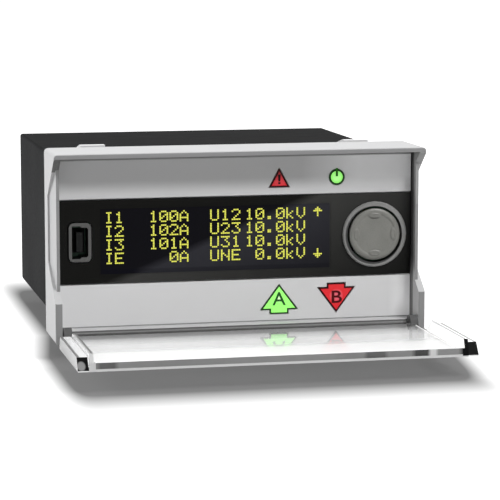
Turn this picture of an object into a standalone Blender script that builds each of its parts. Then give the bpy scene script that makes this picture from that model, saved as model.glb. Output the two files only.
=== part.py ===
"""Panel-mounted protection relay with a hinged clear front door, shown open.

Metres, +Z up. The origin is the centre of the bezel's rear seating face, the
operating face looks along -Y and the housing runs back along +Y.
"""
import math

import bmesh
import bpy
from mathutils import Matrix, Vector

# Fits
CLEARANCE = 0.0003
PIN_CLEARANCE = 0.0002

# Bezel
BEZEL_WIDTH = 0.0960
BEZEL_HEIGHT = 0.0480
BEZEL_DEPTH = 0.0187
BEZEL_CORNER = 0.0011
FRONT_EDGE_SHARE = 0.35
CHEEK_WALL = 0.00175
HOOD_WALL = 0.00125
FLOOR_HEIGHT = 0.0031
FLOOR_SETBACK = 0.0026
PANEL_RECESS = 0.0072
WEB_THICKNESS = 0.0025
WEB_BORDER = 0.0024
WEB_PAD = 0.0045
FLANGE_THICKNESS = 0.0018

# Finger notch in each cheek, cut back from the front edge
STRIP_SETBACK = 0.00365
NOTCH_DEPTH = 0.0127
NOTCH_TOP = 0.0126
NOTCH_BOTTOM = -0.0044
NOTCH_FOOT = -0.01346
GRIP_FRONT = 0.00096
GRIP_BACK = 0.00045
GRIP_EDGE = 0.00002

# Seal in the bezel's rear face
SEAL_WIDTH = 0.0008
SEAL_PROUD = 0.0002
SEAL_DEPTH = 0.0008
SEAL_INSET = 0.0009

# Housing
SHOULDER_SIDE = 0.00316
SHOULDER_TOP = 0.00295
HOUSING_LENGTH = 0.0769
HOUSING_WALL = 0.0018
HOUSING_CORNER = 0.0006
HOUSING_OVERLAP = 0.0032
COVER_THICKNESS = 0.0025
COVER_INSET = 0.0003
BOSS_SIZE = 0.0060
BOSS_LENGTH = 0.0100
GUIDE_RIB = 0.0014
GUIDE_REACH = 0.0015

# Face plate and black window band
PLATE_THICKNESS = 0.0020
BAND_HEIGHT = 0.02125
BAND_CENTRE = 0.0010
BAND_THICKNESS = 0.0006

# Display
DISPLAY_HEIGHT = 0.0166
DISPLAY_LEFT_GAP = 0.0024
DISPLAY_RIGHT_GAP = 0.00335
DISPLAY_GLASS = 0.0015
DISPLAY_FRAME = 0.0014
MODULE_THICKNESS = 0.0013

# Service socket
SOCKET_INSET = 0.0056
SOCKET_WIDTH = 0.0057
SOCKET_HEIGHT = 0.0099
SOCKET_WALL = 0.00078
SOCKET_CORNER = 0.0013
SOCKET_PROUD = 0.0004
TONGUE_WIDTH = 0.0016
TONGUE_HEIGHT = 0.0050
TONGUE_SETBACK = 0.0009
SOCKET_BACK = 0.0008

# Navigation button
NAV_INSET = 0.01005
RING_RADIUS = 0.00855
RING_FACE = 0.0012
RING_PROUD = 0.0007
RING_FLANGE = 0.0005
RING_SLEEVE = 0.00045
RING_SLEEVE_LENGTH = 0.0016
CAP_RADIUS = 0.00668
CAP_PROUD = 0.0010
CAP_RIM = 0.0018
CAP_DISH = 0.00025
CAP_WEB = 0.0008
CAP_SKIRT = 0.0016
CAP_HUB_OUTER = 0.0046
CAP_HUB_INNER = 0.0034
GIMBAL_OUTER = 0.0031
GIMBAL_INNER = 0.0021
GIMBAL_FRONT = 0.0009
GIMBAL_BACK = 0.0025
TRUNNION_RADIUS = 0.0004
TILT_SETBACK = 0.0019
ROCK_SETBACK = 0.0017
PLUNGER_HEAD = 0.0017
PLUNGER_STEM = 0.0013
PLUNGER_SEAT = 0.0005
NAV_TRAVEL = 0.0004
SWITCH_SIZE = 0.0100
SWITCH_HEIGHT = 0.0013

# Status lenses
SYMBOL_INSET = 0.01006
SYMBOL_PITCH = 0.0152
SYMBOL_UNDER_SHARE = 0.344
WARNING_WIDTH = 0.0049
WARNING_HEIGHT = 0.0045
POWER_RADIUS = 0.0019
ARROW_TOP_GAP = 0.0020
ARROW_BOTTOM_GAP = 0.0020
ARROW_WIDTH = 0.0093
ARROW_TAIL = 0.0011
ARROW_STEM = 0.0046
LENS_OUTLINE = 0.00025
LENS_PROUD = 0.0001
LENS_LENGTH = 0.0020
LED_LENGTH = 0.0020
LED_WIDTH = 0.0013
LED_HEIGHT = 0.0009

# Front board behind the web
BOARD_THICKNESS = 0.0016
BOARD_MARGIN = 0.0002
SCREW_RADIUS = 0.0007
SCREW_HEAD_RADIUS = 0.0014
SCREW_HEAD_HEIGHT = 0.0009

# Boards in the housing
CARD_BACK_GAP = 0.0040
MAIN_BOARD_DROP = 0.00185
POWER_BOARD_LIFT = 0.00225
CONNECTOR_WIDTH = 0.0240
CONNECTOR_HEIGHT = 0.0050
CONNECTOR_LENGTH = 0.0040
COMPONENT_SETBACK = 0.0060
COMPONENT_GAP = 0.0020
TRANSFORMER_WIDTH = 0.0240
TRANSFORMER_LENGTH = 0.0200
TRANSFORMER_HEADROOM = 0.0050
CAPACITOR_LENGTH = 0.0160
CAPACITOR_HEADROOM = 0.0080
OUTPUT_RELAY_WIDTH = 0.0200
OUTPUT_RELAY_LENGTH = 0.0105
OUTPUT_RELAY_HEADROOM = 0.0075
OUTPUT_RELAYS = 3

# Terminals in the rear cover
TERMINAL_PITCH = 0.0050
TERMINAL_DEPTH = 0.0150
TERMINAL_HEIGHT = 0.0105
TERMINAL_PROUD = 0.0055
TERMINAL_STEP = 0.0035
TERMINAL_STEP_DEPTH = 0.0020
WIRE_ENTRY = 0.0028
WIRE_ENTRY_DEPTH = 0.0060
SCREW_SHAFT_RADIUS = 0.0017
SCREW_SHAFT_DEPTH = 0.0020
LOWER_TERMINAL_GAP = 0.0100

# Rear cover screws
COVER_SCREW_RADIUS = 0.0011
COVER_SCREW_HEAD = 0.0021
COVER_SCREW_HEAD_HEIGHT = 0.0012
COVER_SCREW_LENGTH = 0.0080
COVER_SCREW_RECESS = 0.0013

# Panel clamps on the top and bottom of the housing
CLAMP_INSET = 0.00984
CLAMP_WIDTH = 0.0063
PANEL_THICKEST = 0.0020
CLAMP_LAND = 0.0026
CLAMP_RISE = 0.00285
CLAMP_FOOT = 0.0012
CLAMP_FOOT_LENGTH = 0.0130
CLAMP_TENON = 0.0012
CLAMP_TENON_LENGTH = 0.0060
CLAMP_TENON_WIDTH = 0.0036

# Door, drawn open: it lies flat in front of the bezel
HINGE_SETBACK = 0.0010
HINGE_HEIGHT = 0.00235
DOOR_WIDTH = 0.0973
DOOR_DROP = 0.0009
DOOR_SKIN = 0.0010
DOOR_TOP_GAP = 0.00025
LIP_HEIGHT = 0.0021
LIP_THICKNESS = 0.0012
RAIL_WIDTH = 0.00255
RAIL_HEIGHT = 0.0031
RIB_WIDTH = 0.0010
RIB_HEIGHT = 0.0042
RIB_SETBACK = 0.0009
RIB_RUN_IN = 0.0036
RAIL_START = 0.0125
RAIL_LEAN = 0.0012
EAR_WIDTH = 0.0020
EAR_RADIUS = 0.0021
PIN_RADIUS = 0.0005
PIN_SEAT = 0.0010
PIN_STEP = 0.0004

# Places that follow from the sizes above
HALF_WIDTH = BEZEL_WIDTH / 2
HALF_HEIGHT = BEZEL_HEIGHT / 2
FRONT = -BEZEL_DEPTH
INNER_HALF = HALF_WIDTH - CHEEK_WALL
HOOD_Z = HALF_HEIGHT - HOOD_WALL
FLOOR_Z = -HALF_HEIGHT + FLOOR_HEIGHT
PANEL = FRONT + PANEL_RECESS
WEB = PANEL + PLATE_THICKNESS + CLEARANCE
WEB_BACK = WEB + WEB_THICKNESS
BOARD = WEB_BACK + CLEARANCE
BOARD_BACK = BOARD + BOARD_THICKNESS
HOUSING_HALF_X = HALF_WIDTH - SHOULDER_SIDE
HOUSING_HALF_Z = HALF_HEIGHT - SHOULDER_TOP
INSIDE_X = HOUSING_HALF_X - HOUSING_WALL
INSIDE_Z = HOUSING_HALF_Z - HOUSING_WALL
HOUSING_FRONT = -HOUSING_OVERLAP
COVER_BACK = HOUSING_LENGTH - COVER_INSET
COVER_FRONT = COVER_BACK - COVER_THICKNESS
HINGE_Y = FRONT + HINGE_SETBACK
HINGE_Z = -HALF_HEIGHT + HINGE_HEIGHT
DOOR_REACH = HOOD_Z - DOOR_TOP_GAP - HINGE_Z
DOOR_END = HINGE_Y - DOOR_REACH
DOOR_BASE = HINGE_Z - DOOR_DROP
NAV_X = INNER_HALF - NAV_INSET
NAV_CENTRE = (NAV_X, BAND_CENTRE)
SOCKET_X = SOCKET_INSET - INNER_HALF
BAND_TOP = BAND_CENTRE + BAND_HEIGHT / 2
BAND_BOTTOM = BAND_CENTRE - BAND_HEIGHT / 2
DISPLAY_LEFT = SOCKET_X + SOCKET_WIDTH / 2 + DISPLAY_LEFT_GAP
DISPLAY_RIGHT = NAV_X - RING_RADIUS - DISPLAY_RIGHT_GAP
SYMBOL_RIGHT_X = NAV_X - SYMBOL_INSET
SYMBOL_LEFT_X = SYMBOL_RIGHT_X - SYMBOL_PITCH
ARROW_TOP = BAND_BOTTOM - ARROW_TOP_GAP
ARROW_BOTTOM = FLOOR_Z + ARROW_BOTTOM_GAP
CLAMP_X = HOUSING_HALF_X - CLAMP_INSET
CLAMP_SETBACK = PANEL_THICKEST + CLEARANCE
POWER_BOARD_Z = POWER_BOARD_LIFT - INSIDE_Z
MAIN_BOARD_Z = INSIDE_Z - MAIN_BOARD_DROP - TERMINAL_HEIGHT - CLEARANCE - BOARD_THICKNESS

ROUND = 32
SMALL_ROUND = 16

FINISHES = {
    "light_grey": ((0.70, 0.70, 0.70), 0.45, 0.0),
    "black_housing": ((0.035, 0.036, 0.038), 0.55, 0.0),
    "gloss_black": ((0.010, 0.010, 0.011), 0.12, 0.0),
    "display_blue": ((0.006, 0.008, 0.020), 0.15, 0.0),
    "clear": ((0.90, 0.92, 0.93), 0.05, 0.0),
    "ring_grey": ((0.27, 0.27, 0.26), 0.40, 0.0),
    "cap_grey": ((0.21, 0.21, 0.19), 0.45, 0.0),
    "steel": ((0.55, 0.55, 0.56), 0.30, 1.0),
    "board_green": ((0.02, 0.12, 0.05), 0.50, 0.0),
    "terminal_green": ((0.06, 0.26, 0.12), 0.45, 0.0),
    "dark_plastic": ((0.03, 0.03, 0.03), 0.50, 0.0),
    "rubber": ((0.02, 0.02, 0.02), 0.80, 0.0),
    "red_lens": ((0.75, 0.03, 0.03), 0.25, 0.0),
    "green_lens": ((0.25, 0.90, 0.12), 0.25, 0.0),
    "white_led": ((0.80, 0.80, 0.75), 0.40, 0.0),
    "copper_core": ((0.55, 0.30, 0.10), 0.45, 0.0),
}

parts = None
cutters = None


def start_scene():
    """Empty the file and make one collection for the parts and one for cutters."""
    global parts, cutters
    for item in list(bpy.data.objects):
        bpy.data.objects.remove(item)
    parts = bpy.data.collections.new("protection_relay")
    cutters = bpy.data.collections.new("cutters")
    bpy.context.scene.collection.children.link(parts)
    bpy.context.scene.collection.children.link(cutters)


def make_finish(name, finish):
    """Give a part its own Principled material."""
    colour, roughness, metallic = FINISHES[finish]
    material = bpy.data.materials.new(name + "_finish")
    material.use_nodes = True
    shader = material.node_tree.nodes["Principled BSDF"]
    shader.inputs["Base Color"].default_value = (*colour, 1.0)
    shader.inputs["Roughness"].default_value = roughness
    shader.inputs["Metallic"].default_value = metallic
    return material


def place(name, shape, finish):
    """Link a finished bmesh as a part, or as a hidden cutter where finish is None."""
    mesh = bpy.data.meshes.new(name)
    shape.to_mesh(mesh)
    shape.free()
    item = bpy.data.objects.new(name, mesh)
    if finish is None:
        cutters.objects.link(item)
        item.hide_render = True
        item.display_type = "WIRE"
    else:
        parts.objects.link(item)
        mesh.materials.append(make_finish(name, finish))
    return item


def box(name, x, y, z, finish=None):
    """A block between the low and high value of each axis."""
    shape = bmesh.new()
    bmesh.ops.create_cube(shape, size=1.0)
    for vert in shape.verts:
        vert.co.x = x[0] if vert.co.x < 0 else x[1]
        vert.co.y = y[0] if vert.co.y < 0 else y[1]
        vert.co.z = z[0] if vert.co.z < 0 else z[1]
    return place(name, shape, finish)


def frame_around(half_x, half_z, y, centre=(0.0, 0.0)):
    """The x, y and z ranges of a block centred on a line along Y."""
    return ((centre[0] - half_x, centre[0] + half_x), y, (centre[1] - half_z, centre[1] + half_z))


def rod(name, axis, radius, span, centre, finish=None, segments=ROUND):
    """A round bar along one axis, between two values of it."""
    shape = bmesh.new()
    length = span[1] - span[0]
    bmesh.ops.create_cone(shape, cap_ends=True, segments=segments, radius1=radius, radius2=radius,
                          depth=length)
    middle = (span[0] + span[1]) / 2
    if axis == "X":
        turn = Matrix.Rotation(math.pi / 2, 4, "Y")
        shift = Matrix.Translation((middle, centre[0], centre[1]))
    elif axis == "Y":
        turn = Matrix.Rotation(math.pi / 2, 4, "X")
        shift = Matrix.Translation((centre[0], middle, centre[1]))
    else:
        turn = Matrix.Identity(4)
        shift = Matrix.Translation((centre[0], centre[1], middle))
    bmesh.ops.transform(shape, matrix=shift @ turn, verts=shape.verts)
    return place(name, shape, finish)


def extrude_outline(name, points, span, plane, finish=None):
    """A flat outline given thickness: plane XZ runs along Y, plane YZ runs along X."""
    curve = bpy.data.curves.new(name + "_outline", "CURVE")
    curve.dimensions = "2D"
    curve.fill_mode = "BOTH"
    curve.extrude = (span[1] - span[0]) / 2
    spline = curve.splines.new("POLY")
    spline.points.add(len(points) - 1)
    for point, (u, v) in zip(spline.points, points):
        point.co = (u, v, 0.0, 1.0)
    spline.use_cyclic_u = True
    source = bpy.data.objects.new(name + "_outline", curve)
    bpy.context.scene.collection.objects.link(source)
    graph = bpy.context.evaluated_depsgraph_get()
    flat = bpy.data.meshes.new_from_object(source.evaluated_get(graph))
    bpy.data.objects.remove(source)
    bpy.data.curves.remove(curve)
    shape = bmesh.new()
    shape.from_mesh(flat)
    bpy.data.meshes.remove(flat)
    bmesh.ops.remove_doubles(shape, verts=shape.verts, dist=1e-7)
    middle = (span[0] + span[1]) / 2
    if plane == "XZ":
        turn = Matrix(((1, 0, 0, 0), (0, 0, -1, middle), (0, 1, 0, 0), (0, 0, 0, 1)))
    else:
        turn = Matrix(((0, 0, 1, middle), (1, 0, 0, 0), (0, 1, 0, 0), (0, 0, 0, 1)))
    bmesh.ops.transform(shape, matrix=turn, verts=shape.verts)
    bmesh.ops.recalc_face_normals(shape, faces=shape.faces)
    return place(name, shape, finish)


def turned(name, profile, centre, finish=None, steps=ROUND):
    """A turned piece on an axis along Y; the profile is (radius, y), outer side first."""
    shape = bmesh.new()
    points = [shape.verts.new((radius, 0.0, -y)) for radius, y in profile]
    for first, second in zip(points, points[1:]):
        shape.edges.new((first, second))
    if profile[0][0] > 0 or profile[-1][0] > 0:
        shape.edges.new((points[-1], points[0]))
    item = place(name, shape, finish)
    item.matrix_world = (Matrix.Translation((centre[0], 0.0, centre[1]))
                         @ Matrix.Rotation(math.pi / 2, 4, "X"))
    screw = item.modifiers.new("turn", "SCREW")
    screw.steps = steps
    screw.render_steps = steps
    screw.use_merge_vertices = True
    screw.merge_threshold = 1e-6
    return item


def set_origin(item, point):
    """Move a part's origin to its joint's axis and leave its shape where it is."""
    local = item.matrix_world.inverted() @ Vector(point)
    item.data.transform(Matrix.Translation(-local))
    item.matrix_world = item.matrix_world @ Matrix.Translation(local)


def combine(item, tool, operation):
    """Cut a part with a tool, or join the tool to it."""
    step = item.modifiers.new(operation.lower(), "BOOLEAN")
    step.operation = operation
    step.object = tool
    step.solver = "EXACT"


def cut(item, *tools):
    for tool in tools:
        combine(item, tool, "DIFFERENCE")


def join(item, *tools):
    for tool in tools:
        combine(item, tool, "UNION")


def round_edges(item, width, segments=2, angle=60.0):
    """Round the sharp edges of a part."""
    bevel = item.modifiers.new("edges", "BEVEL")
    bevel.width = width
    bevel.segments = segments
    bevel.limit_method = "ANGLE"
    bevel.angle_limit = math.radians(angle)
    bevel.miter_outer = "MITER_SHARP"


def rounded_rectangle(half_x, half_z, radius, steps=4, centre=(0.0, 0.0)):
    """Points of a rectangle with round corners."""
    points = []
    for quarter in range(4):
        sign_x = 1 if quarter in (0, 3) else -1
        sign_z = 1 if quarter in (0, 1) else -1
        for step in range(steps + 1):
            angle = math.radians(90 * (quarter + step / steps))
            points.append((centre[0] + sign_x * (half_x - radius) + radius * math.cos(angle),
                           centre[1] + sign_z * (half_z - radius) + radius * math.sin(angle)))
    return points


def grown(points, amount):
    """The same anticlockwise outline with every side moved outwards."""
    moved = []
    count = len(points)
    for index in range(count):
        before, here, after = points[index - 1], points[index], points[(index + 1) % count]
        first = math.atan2(here[1] - before[1], here[0] - before[0])
        second = math.atan2(after[1] - here[1], after[0] - here[0])
        half_turn = (second - first) / 2
        direction = first + half_turn - math.pi / 2
        if abs(half_turn) > math.pi / 2:
            direction += math.pi
            half_turn -= math.pi
        reach = amount / math.cos(half_turn)
        moved.append((here[0] + reach * math.cos(direction), here[1] + reach * math.sin(direction)))
    return moved


def notch_outline(depth, inset=0.0):
    """Side view of the finger notch in a cheek, from past the front edge back to a depth."""
    top_slope = (HOOD_Z - NOTCH_TOP) / NOTCH_DEPTH
    foot_slope = (NOTCH_BOTTOM - NOTCH_FOOT) / NOTCH_DEPTH
    near = -CLEARANCE
    return [(FRONT + near, HOOD_Z - inset - top_slope * near),
            (FRONT + near, NOTCH_FOOT + inset + foot_slope * near),
            (FRONT + depth, NOTCH_FOOT + inset + foot_slope * depth),
            (FRONT + depth, HOOD_Z - inset - top_slope * depth)]


def notch_cutters(side):
    """The through cut in front of the strip, and the tapered finger scoop beside it."""
    name = "notch_right" if side > 0 else "notch_left"
    outside = side * (HALF_WIDTH + CHEEK_WALL)
    through = extrude_outline(name + "_through", notch_outline(STRIP_SETBACK, GRIP_EDGE),
                              sorted((side * (INNER_HALF - CHEEK_WALL), outside)), "YZ")
    scoop = extrude_outline(name + "_scoop", notch_outline(NOTCH_DEPTH),
                            sorted((side * INNER_HALF, outside)), "YZ")
    taper = (GRIP_FRONT - GRIP_BACK) / (NOTCH_DEPTH - STRIP_SETBACK)
    for vert in scoop.data.vertices:
        if abs(vert.co.x) < HALF_WIDTH:
            step = GRIP_BACK + taper * (FRONT + NOTCH_DEPTH - vert.co.y)
            vert.co.x = side * (HALF_WIDTH - step)
    return through, scoop


def build_bezel():
    """Moulded collar: hood, cheeks with finger notches, floor, seat web and rear flange."""
    bezel = box("bezel", (-HALF_WIDTH, HALF_WIDTH), (FRONT, 0.0), (-HALF_HEIGHT, HALF_HEIGHT),
                "light_grey")
    round_edges(bezel, BEZEL_CORNER, 3, 80.0)
    bezel.modifiers["edges"].limit_method = "WEIGHT"
    weights = bezel.data.attributes.new("bevel_weight_edge", "FLOAT", "EDGE")
    for edge in bezel.data.edges:
        first, second = (bezel.data.vertices[index].co for index in edge.vertices)
        along_y = abs(first.y - second.y) > BEZEL_DEPTH / 2
        weights.data[edge.index].value = 1.0 if along_y else FRONT_EDGE_SHARE
    past = 2 * CHEEK_WALL
    cut(bezel, box("front_recess", (-INNER_HALF, INNER_HALF), (FRONT - past, WEB), (FLOOR_Z, HOOD_Z)),
        box("floor_front", (-INNER_HALF, INNER_HALF), (FRONT - past, FRONT + FLOOR_SETBACK),
            (-HALF_HEIGHT - past, FLOOR_Z + CLEARANCE)),
        web_opening(),
        box("rear_cavity", (-INNER_HALF, INNER_HALF), (WEB_BACK, -FLANGE_THICKNESS),
            (-HALF_HEIGHT + HOOD_WALL, HOOD_Z)),
        box("flange_opening", (-HOUSING_HALF_X - CLEARANCE, HOUSING_HALF_X + CLEARANCE),
            (-FLANGE_THICKNESS - CLEARANCE, past),
            (-HOUSING_HALF_Z - CLEARANCE, HOUSING_HALF_Z + CLEARANCE)),
        seal_groove())
    for side in (-1, 1):
        cut(bezel, *notch_cutters(side))
        cut(bezel, ear_pocket(side), pin_hole(side, "bezel", INNER_HALF - past,
                                              INNER_HALF + PIN_SEAT + CLEARANCE))
    for side in (-1, 1):
        for end in (-1, 1):
            cut(bezel, board_screw_hole(side, end, "web_screw_hole", WEB - CLEARANCE, BOARD))
    return bezel


def web_opening():
    """Window in the web, with a pad left in each corner for a board screw."""
    x = INNER_HALF - WEB_BORDER
    opening = box("web_opening", (-x, x), (WEB - CLEARANCE, WEB_BACK + CLEARANCE),
                  (FLOOR_Z + WEB_BORDER, HOOD_Z - WEB_BORDER))
    half = WEB_PAD / 2
    for side in (-1, 1):
        for end in (-1, 1):
            centre_x, centre_z = board_screw_place(side, end)
            cut(opening, box("web_pad", sorted((centre_x - side * half, side * HALF_WIDTH)),
                             (WEB - 2 * CLEARANCE, WEB_BACK + 2 * CLEARANCE),
                             sorted((centre_z - end * half, end * HALF_HEIGHT))))
    return opening


def seal_ring(name, growth, y, finish=None):
    """The rectangular ring of the seal, or of its groove when it is grown."""
    middle = SEAL_INSET + SEAL_WIDTH / 2
    half = SEAL_WIDTH / 2 + growth
    ring = box(name, *frame_around(HALF_WIDTH - middle + half, HALF_HEIGHT - middle + half, y), finish)
    hole_y = (y[0] - CLEARANCE, y[1] + CLEARANCE)
    hole = box(name + "_hole",
               *frame_around(HALF_WIDTH - middle - half, HALF_HEIGHT - middle - half, hole_y))
    cut(ring, hole)
    return ring


def seal_groove():
    return seal_ring("seal_groove", CLEARANCE, (-SEAL_DEPTH - CLEARANCE, SEAL_DEPTH))


def build_seal():
    """Rubber seal cord that the panel squeezes."""
    return seal_ring("panel_seal", 0.0, (-SEAL_DEPTH, SEAL_PROUD), "rubber")


def ear_pocket(side):
    """Clears the door's ear as it swings past the bezel floor."""
    width = EAR_WIDTH + 2 * CLEARANCE
    reach = sorted((side * INNER_HALF, side * (INNER_HALF - width)))
    back = HINGE_Y + EAR_RADIUS + CLEARANCE
    return box("ear_pocket", reach, (FRONT, back), (-HALF_HEIGHT - CLEARANCE, FLOOR_Z + CLEARANCE))


def pin_hole(side, name, near, far):
    """A bore on the hinge axis."""
    return rod(name + "_pin_hole", "X", PIN_RADIUS + PIN_CLEARANCE, sorted((side * near, side * far)),
               (HINGE_Y, HINGE_Z), segments=SMALL_ROUND)


def board_screw_place(side, end):
    """The front board's screws pass through the pads in the web's four corners."""
    edge = HOOD_Z - WEB_BORDER if end > 0 else -FLOOR_Z - WEB_BORDER
    return (side * (INNER_HALF - WEB_BORDER - WEB_PAD / 2), end * (edge - WEB_PAD / 2))


def board_screw_hole(side, end, name, near, far):
    return rod(name, "Y", SCREW_RADIUS + PIN_CLEARANCE, (near, far), board_screw_place(side, end),
               segments=SMALL_ROUND)


def symbol_base(height):
    """Lower end of a symbol of this height in the free strip above the band."""
    return BAND_TOP + SYMBOL_UNDER_SHARE * (HOOD_Z - BAND_TOP - height)


def triangle_outline():
    half = WARNING_WIDTH / 2
    base = symbol_base(WARNING_HEIGHT)
    return [(SYMBOL_LEFT_X - half, base), (SYMBOL_LEFT_X + half, base),
            (SYMBOL_LEFT_X, base + WARNING_HEIGHT)]


def arrow_outline(centre_x, direction):
    """A broad arrow pointing up (direction 1) or down (direction -1), anticlockwise."""
    tip = ARROW_TOP if direction > 0 else ARROW_BOTTOM
    tail = ARROW_BOTTOM if direction > 0 else ARROW_TOP
    shoulder = tail + direction * ARROW_TAIL
    wing = direction * ARROW_WIDTH / 2
    stem = direction * ARROW_STEM / 2
    return [(centre_x, tip), (centre_x - wing, shoulder), (centre_x - stem, shoulder),
            (centre_x - stem, tail), (centre_x + stem, tail), (centre_x + stem, shoulder),
            (centre_x + wing, shoulder)]


def circle_outline(centre, radius, steps=24):
    return [(centre[0] + radius * math.cos(2 * math.pi * step / steps),
             centre[1] + radius * math.sin(2 * math.pi * step / steps)) for step in range(steps)]


def symbols():
    """Name, outline and finish of each lit symbol in the face plate."""
    power_centre = (SYMBOL_RIGHT_X, symbol_base(2 * POWER_RADIUS) + POWER_RADIUS)
    return (("warning_lens", triangle_outline(), "red_lens"),
            ("power_lens", circle_outline(power_centre, POWER_RADIUS), "green_lens"),
            ("up_arrow_lens", arrow_outline(SYMBOL_LEFT_X, 1), "green_lens"),
            ("down_arrow_lens", arrow_outline(SYMBOL_RIGHT_X, -1), "red_lens"))


def socket_opening(name, growth, y):
    half_x = SOCKET_WIDTH / 2 + growth
    half_z = SOCKET_HEIGHT / 2 + growth
    return extrude_outline(name, rounded_rectangle(half_x, half_z, SOCKET_CORNER + growth,
                                                   centre=(SOCKET_X, BAND_CENTRE)), y, "XZ")


def display_block(name, growth, y, finish=None):
    half = DISPLAY_HEIGHT / 2 + growth
    return box(name, (DISPLAY_LEFT - growth, DISPLAY_RIGHT + growth), y,
               (BAND_CENTRE - half, BAND_CENTRE + half), finish)


def build_face_plate():
    """Grey front plate with a shallow pocket for the window band and openings behind it."""
    plate = box("face_plate", (-INNER_HALF + CLEARANCE, INNER_HALF - CLEARANCE),
                (PANEL, PANEL + PLATE_THICKNESS), (FLOOR_Z + CLEARANCE, HOOD_Z - CLEARANCE), "light_grey")
    pocket = box("band_pocket", (-INNER_HALF, INNER_HALF),
                 (PANEL - CLEARANCE, PANEL + BAND_THICKNESS + CLEARANCE),
                 (BAND_CENTRE - BAND_HEIGHT / 2 - CLEARANCE, BAND_CENTRE + BAND_HEIGHT / 2 + CLEARANCE))
    through = (PANEL - CLEARANCE, PANEL + PLATE_THICKNESS + CLEARANCE)
    cut(plate, pocket, display_block("plate_display_opening", CLEARANCE, through),
        socket_opening("plate_socket_opening", CLEARANCE, through),
        rod("plate_button_opening", "Y", sleeve_radius() + CLEARANCE, through, NAV_CENTRE))
    for name, outline, _ in symbols():
        cut(plate, extrude_outline(name + "_opening", grown(outline, LENS_OUTLINE), through, "XZ"))
    return plate


def build_window_band():
    """Glossy black strip across the face plate."""
    y = (PANEL, PANEL + BAND_THICKNESS)
    band = box("window_band", *frame_around(INNER_HALF - CLEARANCE, BAND_HEIGHT / 2, y,
                                            (0.0, BAND_CENTRE)), "gloss_black")
    through = (y[0] - CLEARANCE, y[1] + CLEARANCE)
    cut(band, display_block("band_display_opening", CLEARANCE, through),
        socket_opening("band_socket_opening", CLEARANCE, through),
        rod("band_button_opening", "Y", sleeve_radius() + CLEARANCE, through, NAV_CENTRE))
    return band


def build_lenses():
    """Light pipes whose front ends are the lit symbols, and the LED behind each."""
    back = PANEL + LENS_LENGTH
    for name, outline, finish in symbols():
        extrude_outline(name, outline, (PANEL - LENS_PROUD, back), "XZ", finish)
        middle_x = sum(point[0] for point in outline) / len(outline)
        middle_z = (min(point[1] for point in outline) + max(point[1] for point in outline)) / 2
        box(name.replace("_lens", "_led"),
            *frame_around(LED_LENGTH / 2, LED_WIDTH / 2,
                          (BOARD - CLEARANCE - LED_HEIGHT, BOARD - CLEARANCE), (middle_x, middle_z)),
            "white_led")


def build_display():
    """Cover glass level with the band, and the display module behind the plate."""
    display_block("display_glass", 0.0, (PANEL, PANEL + DISPLAY_GLASS), "display_blue")
    module = display_block("display_module", DISPLAY_FRAME,
                           (WEB, WEB + MODULE_THICKNESS), "dark_plastic")
    return module


def socket_bore_outline():
    """Mouth of the socket: square on one side, drawn in on the other."""
    half_x = SOCKET_WIDTH / 2 - SOCKET_WALL
    half_z = SOCKET_HEIGHT / 2 - SOCKET_WALL
    step = SOCKET_WALL
    return [(SOCKET_X - half_x, BAND_CENTRE - half_z), (SOCKET_X, BAND_CENTRE - half_z),
            (SOCKET_X + step / 2, BAND_CENTRE - half_z + step / 2),
            (SOCKET_X + half_x - step / 2, BAND_CENTRE - half_z + step / 2),
            (SOCKET_X + half_x, BAND_CENTRE - half_z + step),
            (SOCKET_X + half_x, BAND_CENTRE + half_z - step),
            (SOCKET_X + half_x - step / 2, BAND_CENTRE + half_z - step / 2),
            (SOCKET_X + step / 2, BAND_CENTRE + half_z - step / 2),
            (SOCKET_X, BAND_CENTRE + half_z), (SOCKET_X - half_x, BAND_CENTRE + half_z)]


def build_socket():
    """Service socket: a formed metal shell on the board, and the insulator with its tongue."""
    front = PANEL - SOCKET_PROUD
    back = BOARD - CLEARANCE
    shell = extrude_outline("socket_shell",
                            rounded_rectangle(SOCKET_WIDTH / 2, SOCKET_HEIGHT / 2, SOCKET_CORNER,
                                              centre=(SOCKET_X, BAND_CENTRE)),
                            (front, back), "XZ", "steel")
    cut(shell, extrude_outline("socket_bore", socket_bore_outline(),
                               (front - CLEARANCE, back + CLEARANCE), "XZ"))
    half_x = SOCKET_WIDTH / 2 - SOCKET_WALL - CLEARANCE
    half_z = SOCKET_HEIGHT / 2 - 2 * SOCKET_WALL - CLEARANCE
    insulator = box("socket_insulator", *frame_around(half_x, half_z, (back - SOCKET_BACK, back),
                                                      (SOCKET_X, BAND_CENTRE)), "dark_plastic")
    join(insulator, box("socket_tongue",
                        *frame_around(TONGUE_WIDTH / 2, TONGUE_HEIGHT / 2,
                                      (front + TONGUE_SETBACK, back - SOCKET_BACK / 2),
                                      (SOCKET_X, BAND_CENTRE))))
    return shell


def ring_bore():
    return RING_RADIUS - RING_FACE


def sleeve_radius():
    return ring_bore() + RING_SLEEVE


def build_nav_ring():
    """Turned trim ring: a face on the band and a sleeve through it."""
    front = PANEL - RING_PROUD
    seat = PANEL - CLEARANCE
    back = PANEL + RING_SLEEVE_LENGTH
    edge = RING_FLANGE / 2
    return turned("nav_ring", [(sleeve_radius(), back), (sleeve_radius(), seat), (RING_RADIUS, seat),
                               (RING_RADIUS, front + edge), (RING_RADIUS - edge, front),
                               (ring_bore(), front), (ring_bore(), back)][::-1],
                  NAV_CENTRE, "ring_grey")


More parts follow.
